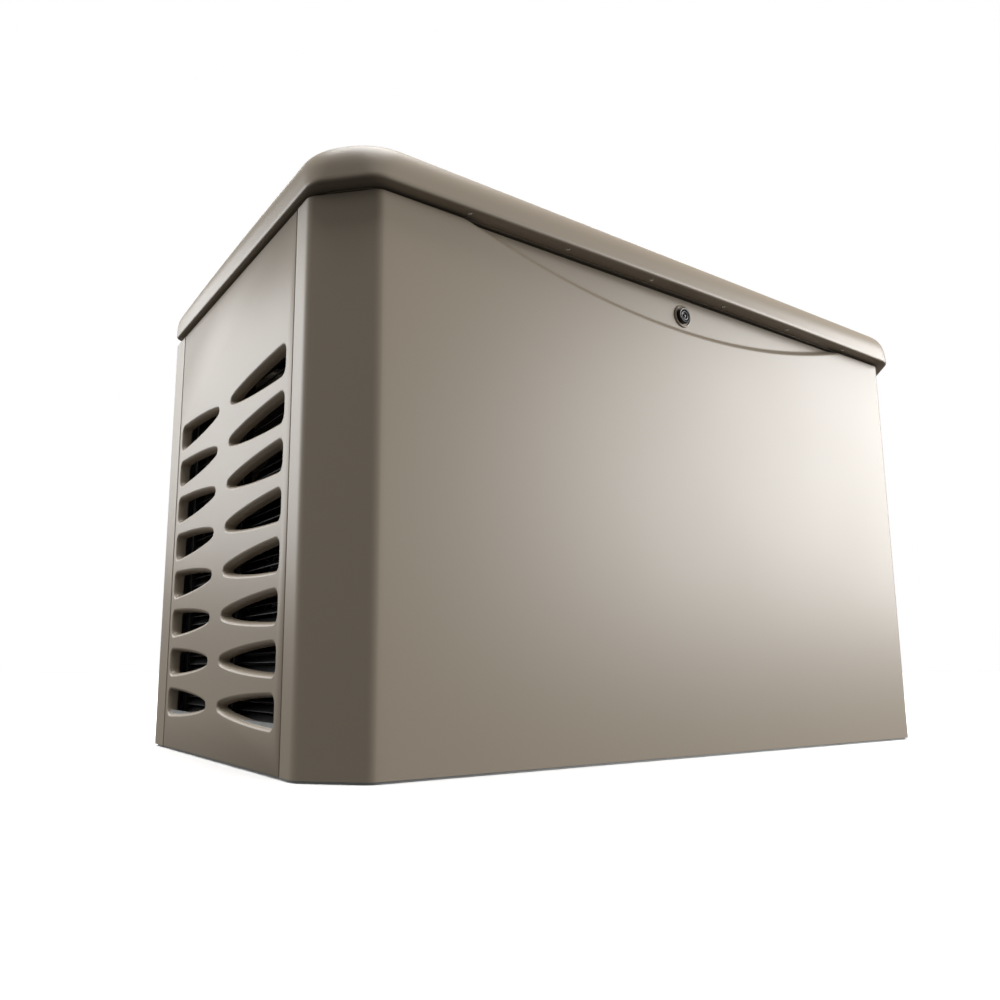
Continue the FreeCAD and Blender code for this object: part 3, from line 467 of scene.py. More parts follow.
# ---------------------------------------------------------------- cabinet


SIDE = END_LOW.x * -1
FRONT = PANEL_LOW.y
PANEL_FLOOR = PANEL_LOW.z
PANEL_TOP = PANEL_HIGH.z
CHAMFER = mm(64)
RECESS_DROP = mm(58)
RECESS_RADIUS = mm(1500)
LOCK_HEIGHT = (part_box("lock_body")[0].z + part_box("lock_body")[1].z) / 2
ROOF_BOW = mm(13)
LIP_BOW = mm(4)
ROOF_CHAMFER = mm(60)
CROWN_RADIUS = mm(9000)
CROWN_CENTRE = mm(-60)
PANEL_THICK = mm(4)
ROOF_THICK = mm(3)
OPENING_HEIGHT = mm(33.5)
OPENING_CORNER = mm(8)
OPENING_ROWS = 8
OPENING_LOWEST_MM = 73
OPENING_PITCH_MM = 61.6
# where each column's blunt ends stand, how long its openings are and which way they point
OPENING_COLUMNS = (
    (mm(-178), mm(198), 1),
    (mm(262), mm(185), -1),
)
# the rim's roll: shares of its width, each with its share of the depth
RIM_ROLL = ((0.16, 0.02), (0.18, 0.07), (0.2, 0.16), (0.2, 0.27), (0.16, 0.4))
RIM_WALL_SHARE = 0.1
RIM_THICK = mm(1.2)
SLAT_PITCH_MM = 12.5
SLAT_TILT = -38
SLAT_DEPTH = mm(15)
SLAT_THICK = mm(1.8)
RIVET_COUNT = 6
RIVET_PITCH_MM = 165


def recess_at(x, z, sizes):
    """Depth of the set-back area: a low arc under the roof with a soft step along it."""
    inside = RECESS_RADIUS - math.hypot(x, z - (PANEL_TOP - RECESS_DROP + RECESS_RADIUS))
    t = min(1.0, max(0.0, (inside + mm(1)) / sizes.recess_step))
    return sizes.recess_depth * t * t * (3 - 2 * t)


class STANDBY_OT_front_panel(bpy.types.Operator):
    """Moulds the C-shaped front panel with its chamfers and its soft set-back area"""

    bl_idname = "standby.front_panel"
    bl_label = "Front panel"

    def execute(self, context):
        sizes = context.scene.generator_sizes
        outline = [
            (-SIDE, PANEL_HIGH.y),
            (-SIDE, FRONT + CHAMFER),
            (CHAMFER - SIDE, FRONT),
            (SIDE - CHAMFER, FRONT),
            (SIDE, FRONT + CHAMFER),
            (SIDE, PANEL_HIGH.y),
        ]
        path = corner_path(outline, sizes.corner_round, steps=7, divide={2: 180, 0: 3, 4: 3})
        step = mm(1.5)
        band = RECESS_DROP + mm(12)
        fine = round(band / step)
        coarse = 24
        heights = [
            PANEL_FLOOR + (PANEL_TOP - band - PANEL_FLOOR) * i / coarse for i in range(coarse)]
        heights += [PANEL_TOP - band + band * i / fine for i in range(fine + 1)]

        def place(column, row):
            x, y = path[column]
            z = heights[row]
            if abs(y - FRONT) < mm(0.01):
                y += recess_at(x, z, sizes)
            return Vector((x, y, z))

        piece = skin("front_cover_moulding", len(path) - 1, len(heights) - 1, place)
        face_away_from(piece, Vector((0, 0, mm(350))))
        apply_modifier(piece, "SOLIDIFY", thickness=PANEL_THICK, offset=-1)
        smooth(piece, 40)
        finish_piece(piece, "front_cover", FINISHES["cabinet"], ["front_panel"])
        return {"FINISHED"}


def teardrop_outline(length, height, corner, grow=0.0):
    """Outline of one opening in its own plane: blunt at 0, with a soft tip at length."""
    half = height / 2
    outline = []
    steps = 5
    for k in range(steps + 1):
        angle = math.pi / 2 * k / steps
        outline.append(Vector((
            corner - corner * math.cos(angle), half - corner + corner * math.sin(angle))))
    sides = 18
    for k in range(1, sides + 1):
        t = math.sin(math.pi / 2 * k / sides)
        u = corner + (length - corner) * t
        outline.append(Vector((u, half * (1 - t ** 1.45) ** 0.62)))
    outline += [Vector((point.x, -point.y)) for point in reversed(outline[:-1])]
    count = len(outline)
    grown = []
    for i, point in enumerate(outline):
        along = (outline[(i + 1) % count] - outline[i - 1]).normalized()
        grown.append((point.x - along.y * grow, point.y + along.x * grow))
    return grown


def opening_face(outline, face, start, way, z, side):
    """The flat face of one opening, on the panel's outer side and facing outwards."""
    clear_selection()
    bpy.ops.mesh.primitive_circle_add(vertices=len(outline), fill_type="NGON")
    rim = bpy.context.object
    for corner, (u, v) in zip(rim.data.vertices, outline):
        corner.co = Vector((face, start + way * u, z + v))
    edit_all()
    bpy.ops.mesh.normals_make_consistent(inside=False)
    leave_edit()
    if rim.data.polygons[0].normal.x * side < 0:
        edit_all()
        bpy.ops.mesh.flip_normals()
        leave_edit()
    return rim


def opening_cutter(rim, side):
    """A copy of an opening's face, drawn out to a plug that reaches through the panel."""
    select_only(rim)
    bpy.ops.object.duplicate()
    cutter = bpy.context.object
    edit_all()
    bpy.ops.mesh.extrude_region_move(TRANSFORM_OT_translate={"value": (-side * mm(8), 0, 0)})
    bpy.ops.mesh.select_all(action="SELECT")
    bpy.ops.mesh.normals_make_consistent(inside=False)
    bpy.ops.transform.translate(value=(side * mm(2), 0, 0))
    leave_edit()
    return cutter


def roll_rim(rim, sizes):
    """Rolls an opening's face inwards to a rim with a short straight wall, and opens it."""
    select_only(rim)
    edit_all()
    width = sizes.rim_width
    for share, drop in RIM_ROLL:
        bpy.ops.mesh.inset(thickness=width * share, depth=-sizes.rim_depth * drop)
    bpy.ops.mesh.inset(thickness=width * RIM_WALL_SHARE, depth=-sizes.wall_depth)
    bpy.ops.mesh.delete(type="FACE")
    leave_edit()


def end_panel(name, side, sizes):
    """One end panel: a plate with sixteen openings, each with a rim rolled inwards."""
    face = SIDE * side
    cutters = []
    rims = []
    for start, length, way in OPENING_COLUMNS:
        outline = teardrop_outline(length, OPENING_HEIGHT, OPENING_CORNER, sizes.rim_width)
        for row in range(OPENING_ROWS):
            z = mm(OPENING_LOWEST_MM + OPENING_PITCH_MM * row)
            rim = opening_face(outline, face, start, way, z, side)
            cutters.append(opening_cutter(rim, side))
            roll_rim(rim, sizes)
            rims.append(rim)
    clear_selection()
    bpy.ops.mesh.primitive_cube_add(size=1, location=(
        face - side * PANEL_THICK / 2, (END_LOW.y + END_HIGH.y) / 2, (END_LOW.z + END_HIGH.z) / 2))
    plate = bpy.context.object
    plate.scale = (PANEL_THICK, END_HIGH.y - END_LOW.y, END_HIGH.z - END_LOW.z)
    settle(plate)
    edit_all()
    bpy.ops.mesh.bevel(offset=mm(1.2), segments=2, affect="EDGES")
    leave_edit()
    cutter = join("cutter", cutters)
    apply_modifier(plate, "BOOLEAN", operation="DIFFERENCE", object=cutter, solver="EXACT")
    bpy.data.objects.remove(cutter)
    for rim in rims:
        apply_modifier(rim, "SOLIDIFY", thickness=RIM_THICK, offset=-1)
    piece = join(name, [plate] + rims)
    smooth(piece, 30)
    return piece


class STANDBY_OT_end_panels(bpy.types.Operator):
    """Moulds both end panels with their rolled air openings"""

    bl_idname = "standby.end_panels"
    bl_label = "End panels"

    def execute(self, context):
        sizes = context.scene.generator_sizes
        for name, side, node in (("left_end_moulding", -1, "left_end_panel"),
                                 ("right_end_moulding", 1, "right_end_panel")):
            piece = end_panel(name, side, sizes)
            finish_piece(piece, "cabinet", FINISHES["cabinet"], [node])
        return {"FINISHED"}


class STANDBY_OT_intake_louvre(bpy.types.Operator):
    """Fills the intake frame with rows of fine tilted slats"""

    bl_idname = "standby.intake_louvre"
    bl_label = "Intake louvre"

    def execute(self, context):
        low, high = (tuple(corner * 1000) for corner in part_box("intake_grille"))
        middle = (low[1] + high[1]) / 2
        parts = [
            block("sill", low, (high[0], high[1], low[2] + 14), 1.5, 2),
            block("head", (low[0], low[1], high[2] - 14), high, 1.5, 2),
            block("front_stile", low, (high[0], low[1] + 13, high[2]), 1.5, 2),
            block("rear_stile", (low[0], high[1] - 13, low[2]), high, 1.5, 2),
            block("mullion", (low[0] + 1, middle - 6, low[2]),
                  (high[0] - 1, middle + 6, high[2]), 1.5, 2),
        ]
        rows = int((high[2] - low[2] - 30) / SLAT_PITCH_MM)
        clear_selection()
        bpy.ops.mesh.primitive_cube_add(size=1, location=(
            mm(low[0] + 7.5), mm(middle), mm(low[2] + 20)),
            rotation=(0, math.radians(SLAT_TILT), 0))
        slat = bpy.context.object
        slat.scale = (SLAT_DEPTH, mm(high[1] - low[1] - 24), SLAT_THICK)
        settle(slat)
        edit_all()
        bpy.ops.mesh.bevel(offset=mm(0.5), segments=1, affect="EDGES")
        leave_edit()
        for row in range(1, rows):
            select_only(slat)
            bpy.ops.object.duplicate()
            copy = bpy.context.object
            copy.location.z = mm(SLAT_PITCH_MM * row)
            settle(copy)
            parts.append(copy)
        parts.append(slat)
        piece = join("intake_louvre", parts)
        smooth(piece, 30)
        finish_piece(piece, "cabinet", FINISHES["black_plastic"],
                     ["intake_grille"])
        return {"FINISHED"}


def crown_at(y):
    """Height of the roof's crown, from front to rear."""
    return ROOF_HIGH.z - CROWN_RADIUS + math.sqrt(CROWN_RADIUS ** 2 - (y - CROWN_CENTRE) ** 2)


def roof_ring(inset, share=0.0):
    """The roof's plan drawn in by an inset. Its cut corners turn round towards the top."""
    side = ROOF_HIGH.x - inset
    front = ROOF_LOW.y + ROOF_BOW + inset
    rear = ROOF_HIGH.y - inset
    leg = ROOF_CHAMFER - inset * (2 - math.sqrt(2))
    outline = [
        (side, rear),
        (-side, rear),
        (-side, front + leg),
        (leg - side, front),
        (side - leg, front),
        (side, front + leg),
    ]
    least = max(mm(42) - inset * 0.4, mm(12))
    most = 0.97 * leg * math.sqrt(0.5) / math.tan(math.pi / 8)
    corner = least + (most - least) * share
    rear_corner = max(mm(14) - inset * 0.3, mm(6))
    radii = [rear_corner, rear_corner, corner, corner, corner, corner]
    ring = corner_path(outline, radii, closed=True, steps=7,
                       divide={0: 24, 1: 14, 2: 3, 3: 40, 4: 3, 5: 14})
    reach = side - leg
    bowed = []
    for x, y in ring:
        if y < 0 and abs(x) < reach:
            y -= LIP_BOW * (1 - share) * (1 - (x / reach) ** 2)
        bowed.append((x, y))
    return bowed


class STANDBY_OT_roof(bpy.types.Operator):
    """Moulds the crowned roof with its bowed lip and its grooved underside"""

    bl_idname = "standby.roof"
    bl_label = "Roof"

    def execute(self, context):
        sizes = context.scene.generator_sizes
        low = ROOF_LOW.z
        rounding = sizes.roof_round
        flat = [(mm(62), low), (mm(25), low), (mm(24.2), low + mm(1.4)), (mm(21.8), low + mm(1.4)),
                (mm(21), low), (mm(3.5), low), (mm(1.6), low + mm(0.5)), (mm(0.5), low + mm(1.6)),
                (0.0, low + mm(3.5))]
        rings = [[Vector((x, y, z)) for x, y in roof_ring(inset)] for inset, z in flat]
        for rise, share in ((mm(7), 0.05), (mm(12), 0.15)):
            rings.append([Vector((x, y, low + rise)) for x, y in roof_ring(0.0, share)])
        steps = 9
        for k in range(steps + 1):
            angle = math.pi / 2 * k / steps
            inset = rounding * (1 - math.cos(angle))
            drop = sizes.roof_shoulder * (1 - math.sin(angle))
            share = 0.25 + 0.75 * k / steps
            rings.append([Vector((x, y, crown_at(y) - drop)) for x, y in roof_ring(inset, share)])
        edge = roof_ring(rounding, 1.0)
        for k in range(1, 10):
            t = k / 10
            ring = []
            for x, y in edge:
                px = x * (1 - t * 0.5)
                py = y + (CROWN_CENTRE - y) * t
                ring.append(Vector((px, py, crown_at(py))))
            rings.append(ring)
        count = len(edge)
        piece = skin("roof_moulding", count, len(rings) - 1,
                     lambda column, row: rings[row][column % count], closed=True)
        edit_all()
        bpy.ops.mesh.select_all(action="DESELECT")
        leave_edit()
        top = max(corner.co.z for corner in piece.data.vertices)
        inner = [tuple(v) for v in rings[-1]]
        box = (min(v[0] for v in inner) - mm(1), max(v[0] for v in inner) + mm(1),
               min(v[1] for v in inner) - mm(1), max(v[1] for v in inner) + mm(1))
        for corner in piece.data.vertices:
            corner.select = (box[0] < corner.co.x < box[1] and box[2] < corner.co.y < box[3]
                             and corner.co.z > top - mm(3))
        bpy.ops.object.mode_set(mode="EDIT")
        bpy.ops.mesh.select_mode(type="VERT")
        bpy.ops.mesh.edge_face_add()
        leave_edit()
        face_away_from(piece, Vector((0, 0, low + mm(15))))
        apply_modifier(piece, "SOLIDIFY", thickness=ROOF_THICK, offset=-1)
        smooth(piece, 35)
        finish_piece(piece, "roof", FINISHES["cabinet"], ["roof_lid"])
        return {"FINISHED"}


class STANDBY_OT_roof_rivets(bpy.types.Operator):
    """Turns the round rivet heads under the roof's front lip"""

    bl_idname = "standby.roof_rivets"
    bl_label = "Roof rivets"

    def execute(self, context):
        profile = [(0.6, 0), (3.4, 0), (3.5, -0.3), (2.9, -1.0), (1.6, -1.4), (0.2, -1.5)]
        rivets = []
        for solid in range(RIVET_COUNT):
            x = mm((solid - 2.5) * RIVET_PITCH_MM)
            place = (x, FRONT - mm(8), ROOF_LOW.z)
            rivets.append(turned(f"rivet_{solid}", profile, place, "Z", 20))
        piece = join("roof_lip_rivets", rivets)
        smooth(piece)
        finish_piece(piece, "roof", FINISHES["zinc"], ["lip_rivets"])
        return {"FINISHED"}


class STANDBY_OT_lock(bpy.types.Operator):
    """Turns the dished bezel, the black barrel and the keyed plug of the roof lock"""

    bl_idname = "standby.lock"
    bl_label = "Lock"

    def execute(self, context):
        face = FRONT + mm(7)
        centre = (0, face, LOCK_HEIGHT)
        bezel = turned("lock_dish", [
            (12.6, 1.5), (12.6, -0.4), (13.4, -0.9), (14.4, -0.5), (15.2, -1.6),
            (16.2, -2.4), (17.2, -2.1), (17.9, -0.8), (18.3, 0.4)], centre, "Y", 64)
        smooth(bezel, 40)
        finish_piece(bezel, "front_cover", FINISHES["cabinet"])
        barrel = turned("lock_barrel", [
            (9.0, 24), (9.0, -5.4), (9.5, -6.2), (11.2, -6.4), (11.9, -5.8), (12.2, -4.6),
            (12.2, 1.5), (11.0, 2.0), (11.0, 24)], centre, "Y", 64)
        smooth(barrel, 40)
        finish_piece(barrel, "front_cover", FINISHES["black_gloss"], ["lock_body"])
        plug = turned("lock_plug_face", [
            (0.4, -6.0), (2.2, -5.9), (2.9, -5.4), (3.1, -4.0), (4.9, -4.0), (5.1, -5.2),
            (5.8, -5.7), (7.4, -5.6), (8.3, -4.9), (8.6, -3.7), (0.4, -3.6)], centre, "Y", 56)
        smooth(plug, 40)
        finish_piece(plug, "lock_plug", FINISHES["black_gloss"])
        return {"FINISHED"}


# ---------------------------------------------------------------- engine and services


BATTERY_POSTS_MM = ((430, -190), (530, -90))
# low and high corners of the display window, in plan
DISPLAY_WINDOW_MM = ((352, -236), (428, -178))
PORE_PITCH = mm(40)
PORE_DEPTH = mm(3.2)


def centre_of(node):
    """Centre of a CAD node's box."""
    low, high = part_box(node)
    return (low + high) / 2


def ends_mm(node):
    """Low and high corners of a CAD node's box, in mm."""
    low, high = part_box(node)
    return tuple(low * 1000), tuple(high * 1000)


class STANDBY_OT_oil_filter(bpy.types.Operator):
    """Turns the spin-on oil filter's can"""

    bl_idname = "standby.oil_filter"
    bl_label = "Oil filter"

    def execute(self, context):
        low, high = ends_mm("oil_filter")
        centre = centre_of("oil_filter")
        length = high[1] - low[1]
        can = turned("oil_filter_can", [
            (2, 0.2), (24, 0.4), (31, 2), (34.5, 6), (35.6, 11), (35.6, length - 14),
            (34.4, length - 12), (34.4, length - 9), (35.9, length - 7), (35.9, length - 2),
            (33, length), (2, length)], (centre.x, mm(low[1]), centre.z), "Y", 64)
        smooth(can, 35)
        finish_piece(can, "cabinet", FINISHES["enamel"], ["oil_filter"])
        return {"FINISHED"}


class STANDBY_OT_rocker_covers(bpy.types.Operator):
    """Presses both rocker covers with their ribs and corner screws"""

    bl_idname = "standby.rocker_covers"
    bl_label = "Rocker covers"

    def execute(self, context):
        for side, node in ((-1, "front_rocker_cover"), (1, "rear_rocker_cover")):
            middle = centre_of(node)
            parts = [block(f"{node}_pressing", (-41.5, -35.5, -12.5), (41.5, 35.5, 12.8), 7, 4)]
            for x in (-26, 0, 26):
                parts.append(block(f"{node}_rib", (x - 3, -27, 12), (x + 3, 27, 14.6), 1.2, 2))
            for x in (-34, 34):
                for y in (-28, 28):
                    parts.append(hexagon_head((mm(x), mm(y), mm(13.4)), 4.5, 3))
            piece = join(f"{node}_pressing", parts)
            select_only(piece)
            turn = Matrix.Rotation(-side * math.pi / 4, 4, "X")
            piece.matrix_world = Matrix.Translation(middle) @ turn
            settle(piece)
            smooth(piece, 35)
            finish_piece(piece, "cabinet", FINISHES["black_steel"], [node])
        return {"FINISHED"}


class STANDBY_OT_air_cleaner(bpy.types.Operator):
    """Moulds the ribbed air cleaner box and bends the clips that hold it"""

    bl_idname = "standby.air_cleaner"
    bl_label = "Air cleaner"

    def execute(self, context):
        low, high = ends_mm("air_cleaner_cover")
        parts = [block("air_box", low, high, 9, 4)]
        for i in range(7):
            x = low[0] + 26 + i * 20
            parts.append(block("air_box_rib", (x - 2.5, low[1] + 16, high[2] - 4),
                               (x + 2.5, high[1] - 16, high[2] - 0.2), 1.5, 2))
        piece = join("air_cleaner_box", parts)
        smooth(piece, 35)
        finish_piece(piece, "cabinet", FINISHES["black_plastic"],
                     ["air_cleaner_cover"])
        clips = []
        for y, way in ((low[1], -1), (high[1], 1)):
            for x in (low[0] + 35, high[0] - 35):
                near = min(y, y + way * 3)
                clips.append(block("clip", (x - 7, near, low[2] + 4),
                                   (x + 7, near + 3, low[2] + 42), 1, 2))
        piece = join("air_cleaner_clips", clips)
        smooth(piece)
        finish_piece(piece, "cabinet", FINISHES["zinc"])
        return {"FINISHED"}


class STANDBY_OT_mount_rubbers(bpy.types.Operator):
    """Turns the four waisted rubber mounts under the engine cradle"""

    bl_idname = "standby.mount_rubbers"
    bl_label = "Rubber mounts"

    def execute(self, context):
        low, high = ends_mm("rubber_mounts")
        profile = [(2, 0), (21.5, 0), (21.8, 4), (17.5, 8), (16, 18), (17.5, 29), (21.8, 33),
                   (21.5, 37), (2, 37)]
        pads = []
        for x in (low[0] + 22, high[0] - 22):
            for y in (low[1] + 22, high[1] - 22):
                pads.append(turned("mount", profile, (mm(x), mm(y), mm(low[2])), "Z", 40))
        piece = join("mount_rubbers", pads)
        smooth(piece)
        finish_piece(piece, "cabinet", FINISHES["rubber"], ["rubber_mounts"])
        return {"FINISHED"}


class STANDBY_OT_starter(bpy.types.Operator):
    """Turns the starter motor's case and the coil that sits on it"""

    bl_idname = "standby.starter"
    bl_label = "Starter motor"

    def execute(self, context):
        low, high = ends_mm("starter_motor")
        y = mm(low[1] + 34)
        z = mm(low[2] + 34)
        start = low[0] + 11
        shell = turned("starter_case", [
            (6.3, -10.9), (11, -10.9), (11, 0), (30, 0.2), (33.6, 3), (33.6, 26), (32, 28),
            (32, 112), (33.8, 114), (33.8, 132), (30, 138), (12, 139.8), (2, 139.8)],
            (mm(start), y, z), "X", 56)
        coil = turned("starter_coil", [
            (2, 15), (13, 15), (15.5, 18), (15.5, 86), (13, 90), (8, 90), (8, 94.6), (2, 94.6)],
            (mm(start), y - mm(3), z + mm(46)), "X", 40)
        bridge = block("starter_saddle", (start + 30, y * 1000 - 12, z * 1000 + 28),
                       (start + 70, y * 1000 + 9, z * 1000 + 34), 1.5, 2)
        piece = join("starter_case", [shell, coil, bridge])
        smooth(piece, 35)
        finish_piece(piece, "cabinet", FINISHES["black_steel"], ["starter_motor"])
        return {"FINISHED"}


class STANDBY_OT_battery(bpy.types.Operator):
    """Moulds the battery's ribbed case and turns its two posts"""

    bl_idname = "standby.battery"
    bl_label = "Battery"

    def execute(self, context):
        low, high = ends_mm("battery")
        top = high[2] - 16
        parts = [
            block("case", low, (high[0], high[1], top - 26), 4, 3),
            block("lid", (low[0] + 0.4, low[1] + 0.4, top - 28),
                  (high[0] - 0.4, high[1] - 0.4, top - 4), 3, 3),
            block("vents", (low[0] + 30, low[1] + 62, top - 6),
                  (high[0] - 30, low[1] + 98, top + 1.5), 2, 3),
        ]
        for i in range(4):
            x = low[0] + 20 + i * 40
            parts.append(block("rib", (x - 3, low[1], low[2] + 20),
                               (x + 3, low[1] + 3, top - 40), 1.2, 2))
        piece = join("battery_case", parts)
        smooth(piece, 35)
        finish_piece(piece, "cabinet", FINISHES["battery"], ["battery"])
        profile = [(11, -5), (11, -1), (9, 0), (8.2, 15), (7.4, 16), (1, 16)]
        posts = [turned("post", profile, (mm(x), mm(y), mm(top)), "Z", 32)
                 for x, y in BATTERY_POSTS_MM]
        piece = join("battery_posts", posts)
        smooth(piece)
        finish_piece(piece, "cabinet", FINISHES["steel"])
        return {"FINISHED"}


class STANDBY_OT_controller(bpy.types.Operator):
    """Moulds the controller's hollow body, with its display window and button holes"""

    bl_idname = "standby.controller"
    bl_label = "Controller"

    def execute(self, context):
        low, high = ends_mm("controller_case")
        body = block("controller_body", low, high, 4, 3)
        window_low, window_high = DISPLAY_WINDOW_MM
        cutters = [block("window", window_low + (high[2] - 3,),
                         window_high + (high[2] + 3,), 0.8, 2)]
        for i in range(3):
            cutters.append(turned("hole", [(0.5, -6), (8.3, -6), (8.3, 3), (0.5, 3)],
                                  (mm(452 + 26 * i), mm(-205), mm(high[2])), "Z", 32))
        cutters.append(block("hollow", (low[0] + 3, low[1] + 3, low[2] - 3),
                             (high[0] - 3, high[1] - 3, high[2] - 3), 0.5, 1))
        cutter = join("cutter", cutters)
        apply_modifier(body, "BOOLEAN", operation="DIFFERENCE", object=cutter, solver="EXACT",
                       use_self=True)
        bpy.data.objects.remove(cutter)
        piece = join("controller_body", [body])
        smooth(piece, 35)
        finish_piece(piece, "cabinet", FINISHES["grey"], ["controller_case"])
        return {"FINISHED"}


class STANDBY_OT_buttons(bpy.types.Operator):
    """Turns the dished caps of the run, test and stop buttons"""

    bl_idname = "standby.buttons"
    bl_label = "Buttons"

    def execute(self, context):
        profile = [(1, 0), (9.8, 0), (9.8, 4.2), (7.9, 4.6), (7.9, 11.4), (7.2, 12.4), (5.5, 12.9),
                   (3, 12.5), (0.6, 12.3)]
        for name, kind, slot in (("run_button", "green", "green_plastic"),
                                 ("test_button", "grey", "grey_plastic"),
                                 ("stop_button", "red", "red_plastic")):
            centre = centre_of(name)
            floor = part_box(name)[0].z
            cap = turned(f"{name}_cap", profile, (centre.x, centre.y, floor), "Z", 40)
            smooth(cap, 35)
            finish_piece(cap, name, FINISHES[kind], [name])
        return {"FINISHED"}


class STANDBY_OT_roof_foam(bpy.types.Operator):
    """Lays the pored sheet of sound-deadening foam under the roof"""

    bl_idname = "standby.roof_foam"
    bl_label = "Roof foam"

    def execute(self, context):
        low, high = ends_mm("roof_foam")
        clear_selection()
        columns, rows = 96, 46

        def pores(column, row):
            """Place of one corner of the foam's lower face, swelling and dipping by rows."""
            x = mm(low[0]) + mm(high[0] - low[0]) * column / columns
            y = mm(low[1]) + mm(high[1] - low[1]) * row / rows
            cut = abs(x) - mm(high[0] - 36)
            y = max(y, mm(low[1]) + cut)
            swell = math.cos(2 * math.pi * x / PORE_PITCH) * math.cos(2 * math.pi * y / PORE_PITCH)
            return Vector((x, y, mm(low[2]) + PORE_DEPTH * (1 - swell) / 2))

        piece = skin("roof_foam_liner", columns, rows, pores)
        face_away_from(piece, Vector((0, 0, mm(high[2] + 200))))
        apply_modifier(piece, "SOLIDIFY", thickness=mm(14), offset=-1)
        smooth(piece, 60)
        finish_piece(piece, "roof", FINISHES["foam"], ["roof_foam"])
        return {"FINISHED"}


class STANDBY_OT_frame_finishes(bpy.types.Operator):
    """Gives every CAD node that stays in view its own finish"""

    bl_idname = "standby.frame_finishes"
    bl_label = "Frame finishes"

    def execute(self, context):
        slots = {part["node"]: part["material_slot"] for part in frame["record"]["subparts"]}
        for name, node in frame["nodes"].items():
            kind = "black_gloss" if name == "lock_plug" else FRAME_FINISHES[slots[name]]
            material = FINISHES[kind]
            node.data.materials.clear()
            node.data.materials.append(material)
        return {"FINISHED"}


# ---------------------------------------------------------------- stage


def area_light(name, place, target, size, power, colour="FFFFFF"):
    """A rectangular softbox at a place, turned towards a target."""
    data = bpy.data.lights.new(name, "AREA")
    data.shape = "RECTANGLE"
    data.size = size[0]
    data.size_y = size[1]
    data.energy = power
    data.color = linear(colour)[:3]
    light = bpy.data.objects.new(name, data)
    bpy.context.scene.collection.objects.link(light)
    light.location = place
    light.rotation_euler = (Vector(target) - Vector(place)).to_track_quat("-Z", "Y").to_euler()
    return light


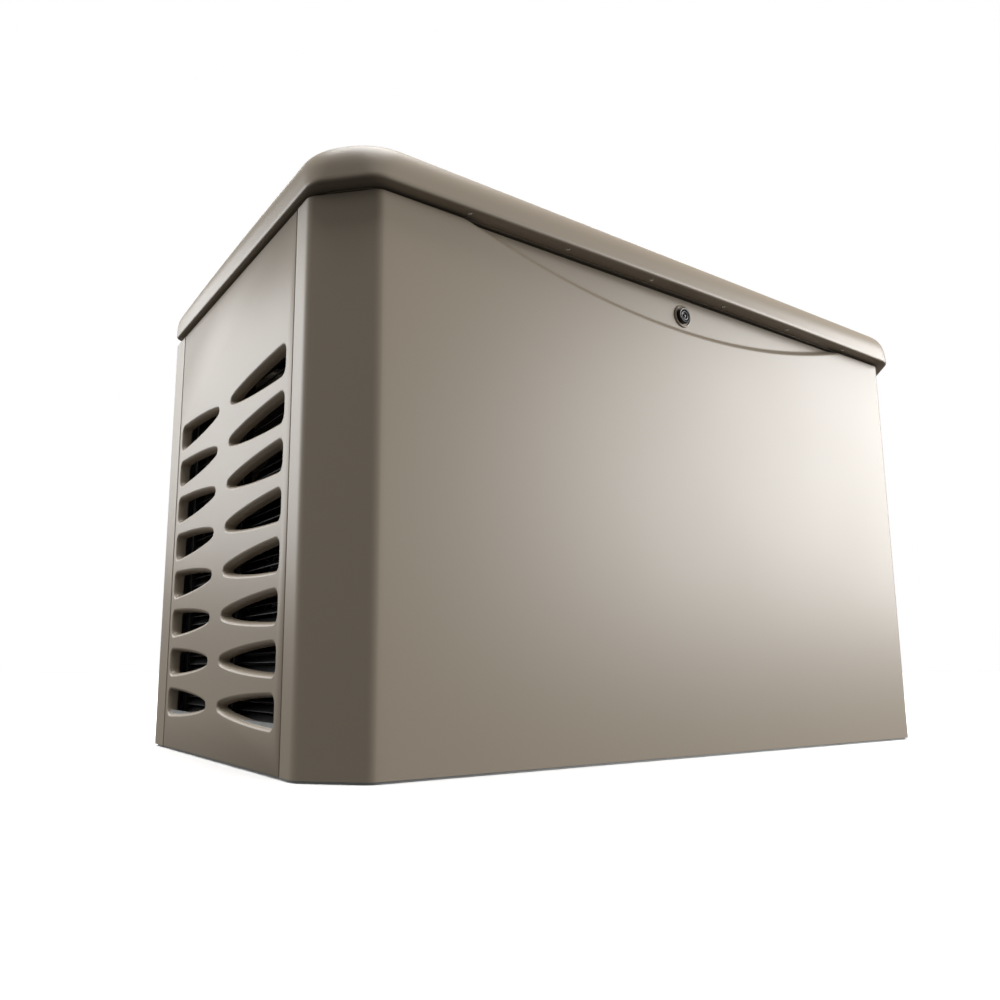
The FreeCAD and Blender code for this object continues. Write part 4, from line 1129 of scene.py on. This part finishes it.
class STANDBY_OT_stage(bpy.types.Operator):
    """Sets the pale floor, the soft lights and the low camera at the front left corner"""

    bl_idname = "standby.stage"
    bl_label = "Stage"

    def execute(self, context):
        clear_selection()
        bpy.ops.mesh.primitive_plane_add(size=80, location=(0, 0, 0))
        floor = context.object
        floor.name = "studio_floor"
        floor.data.materials.append(finish("matt_studio_floor", "F6F6F6", 0.9, grain_mm=40,
                                           bump=0.0, vary=0.003, patch_mm=2000, rough_vary=0.02))
        # the pale floor shows white, but throws no light back up on the cabinet
        floor.visible_diffuse = False
        floor.visible_glossy = False

        world = bpy.data.worlds.new("studio")
        context.scene.world = world
        world.use_nodes = True
        tree = world.node_tree
        room = tree.nodes["Background"]
        way = add_node(tree, "ShaderNodeTexCoord")
        split = add_node(tree, "ShaderNodeSeparateXYZ", None,
                         {"Vector": way.outputs["Generated"]})
        rise = add_node(tree, "ShaderNodeMapRange", {
            "From Min": -0.5, "From Max": 0.35, "To Min": 0.06, "To Max": 0.34},
            {"Value": split.outputs["Z"]})
        room.inputs["Color"].default_value = linear("F4F2EE")
        tree.links.new(rise.outputs["Result"], room.inputs["Strength"])
        backdrop = add_node(tree, "ShaderNodeBackground",
                            {"Color": linear("FFFFFF"), "Strength": 1.0})
        rays = add_node(tree, "ShaderNodeLightPath")
        mixed = add_node(tree, "ShaderNodeMixShader", None, {
            0: rays.outputs["Is Camera Ray"], 1: room.outputs["Background"],
            2: backdrop.outputs["Background"]})
        tree.links.new(mixed.outputs["Shader"], tree.nodes["World Output"].inputs["Surface"])

        area_light("right_softbox", (3.2, -2.25, 1.3), (0.1, -0.3, 0.45), (2.8, 1.9), 165)
        area_light("left_rear_softbox", (-2.3, 2.2, 1.4), (-0.6, 0.1, 0.5), (2.6, 1.6), 56)
        area_light("rear_top_softbox", (1.1, 2.0, 2.3), (0, -0.2, 0.7), (3.0, 1.4), 60)
        ceiling = bpy.data.lights.new("ceiling_light", "SUN")
        ceiling.energy = 3.7
        ceiling.angle = math.radians(50)
        context.scene.collection.objects.link(bpy.data.objects.new("ceiling_light", ceiling))

        view = context.scene.view_settings
        view.view_transform = "Standard"
        view.look = "None"
        data = bpy.data.cameras.new("camera")
        data.sensor_width = 36
        data.lens = 29.92
        data.shift_x = 0.0438
        data.shift_y = 0.0319
        data.clip_end = 200
        camera = bpy.data.objects.new("camera", data)
        context.scene.collection.objects.link(camera)
        camera.location = (-0.9714, -1.1146, 0.1207)
        camera.rotation_euler = tuple(math.radians(a) for a in (99.48, 0.054, -33.789))
        context.scene.camera = camera
        return {"FINISHED"}


# ---------------------------------------------------------------- add-on


STEPS = (
    STANDBY_OT_stage,
    STANDBY_OT_frame_finishes,
    STANDBY_OT_front_panel,
    STANDBY_OT_end_panels,
    STANDBY_OT_intake_louvre,
    STANDBY_OT_roof,
    STANDBY_OT_roof_rivets,
    STANDBY_OT_lock,
    STANDBY_OT_oil_filter,
    STANDBY_OT_rocker_covers,
    STANDBY_OT_air_cleaner,
    STANDBY_OT_mount_rubbers,
    STANDBY_OT_starter,
    STANDBY_OT_battery,
    STANDBY_OT_controller,
    STANDBY_OT_buttons,
    STANDBY_OT_roof_foam,
)


class STANDBY_PT_panel(bpy.types.Panel):
    """Lists the generator's sizes, colours and making steps"""

    bl_idname = "STANDBY_PT_panel"
    bl_label = "Generator"
    bl_space_type = "VIEW_3D"
    bl_region_type = "UI"
    bl_category = "Generator"

    def draw(self, context):
        for group in (context.scene.generator_sizes, context.scene.generator_colours):
            column = self.layout.column(align=True)
            for name in group.__annotations__:
                column.prop(group, name)
        for step in STEPS:
            self.layout.operator(step.bl_idname)


CLASSES = (GeneratorSizes, GeneratorColours) + STEPS + (STANDBY_PT_panel,)


def register():
    """Registers the classes and puts the settings on the scene."""
    for entry in CLASSES:
        bpy.utils.register_class(entry)
    bpy.types.Scene.generator_sizes = bpy.props.PointerProperty(type=GeneratorSizes)
    bpy.types.Scene.generator_colours = bpy.props.PointerProperty(type=GeneratorColours)


def unregister():
    """Takes the settings and the classes away again."""
    del bpy.types.Scene.generator_sizes
    del bpy.types.Scene.generator_colours
    for entry in reversed(CLASSES):
        bpy.utils.unregister_class(entry)


def main():
    """Makes every piece in order."""
    register()
    FINISHES.update(make_finishes(bpy.context.scene.generator_colours))
    for step in STEPS:
        group, name = step.bl_idname.split(".")
        getattr(getattr(bpy.ops, group), name)()
    bpy.context.view_layer.update()


if __name__ == "__main__":
    main()
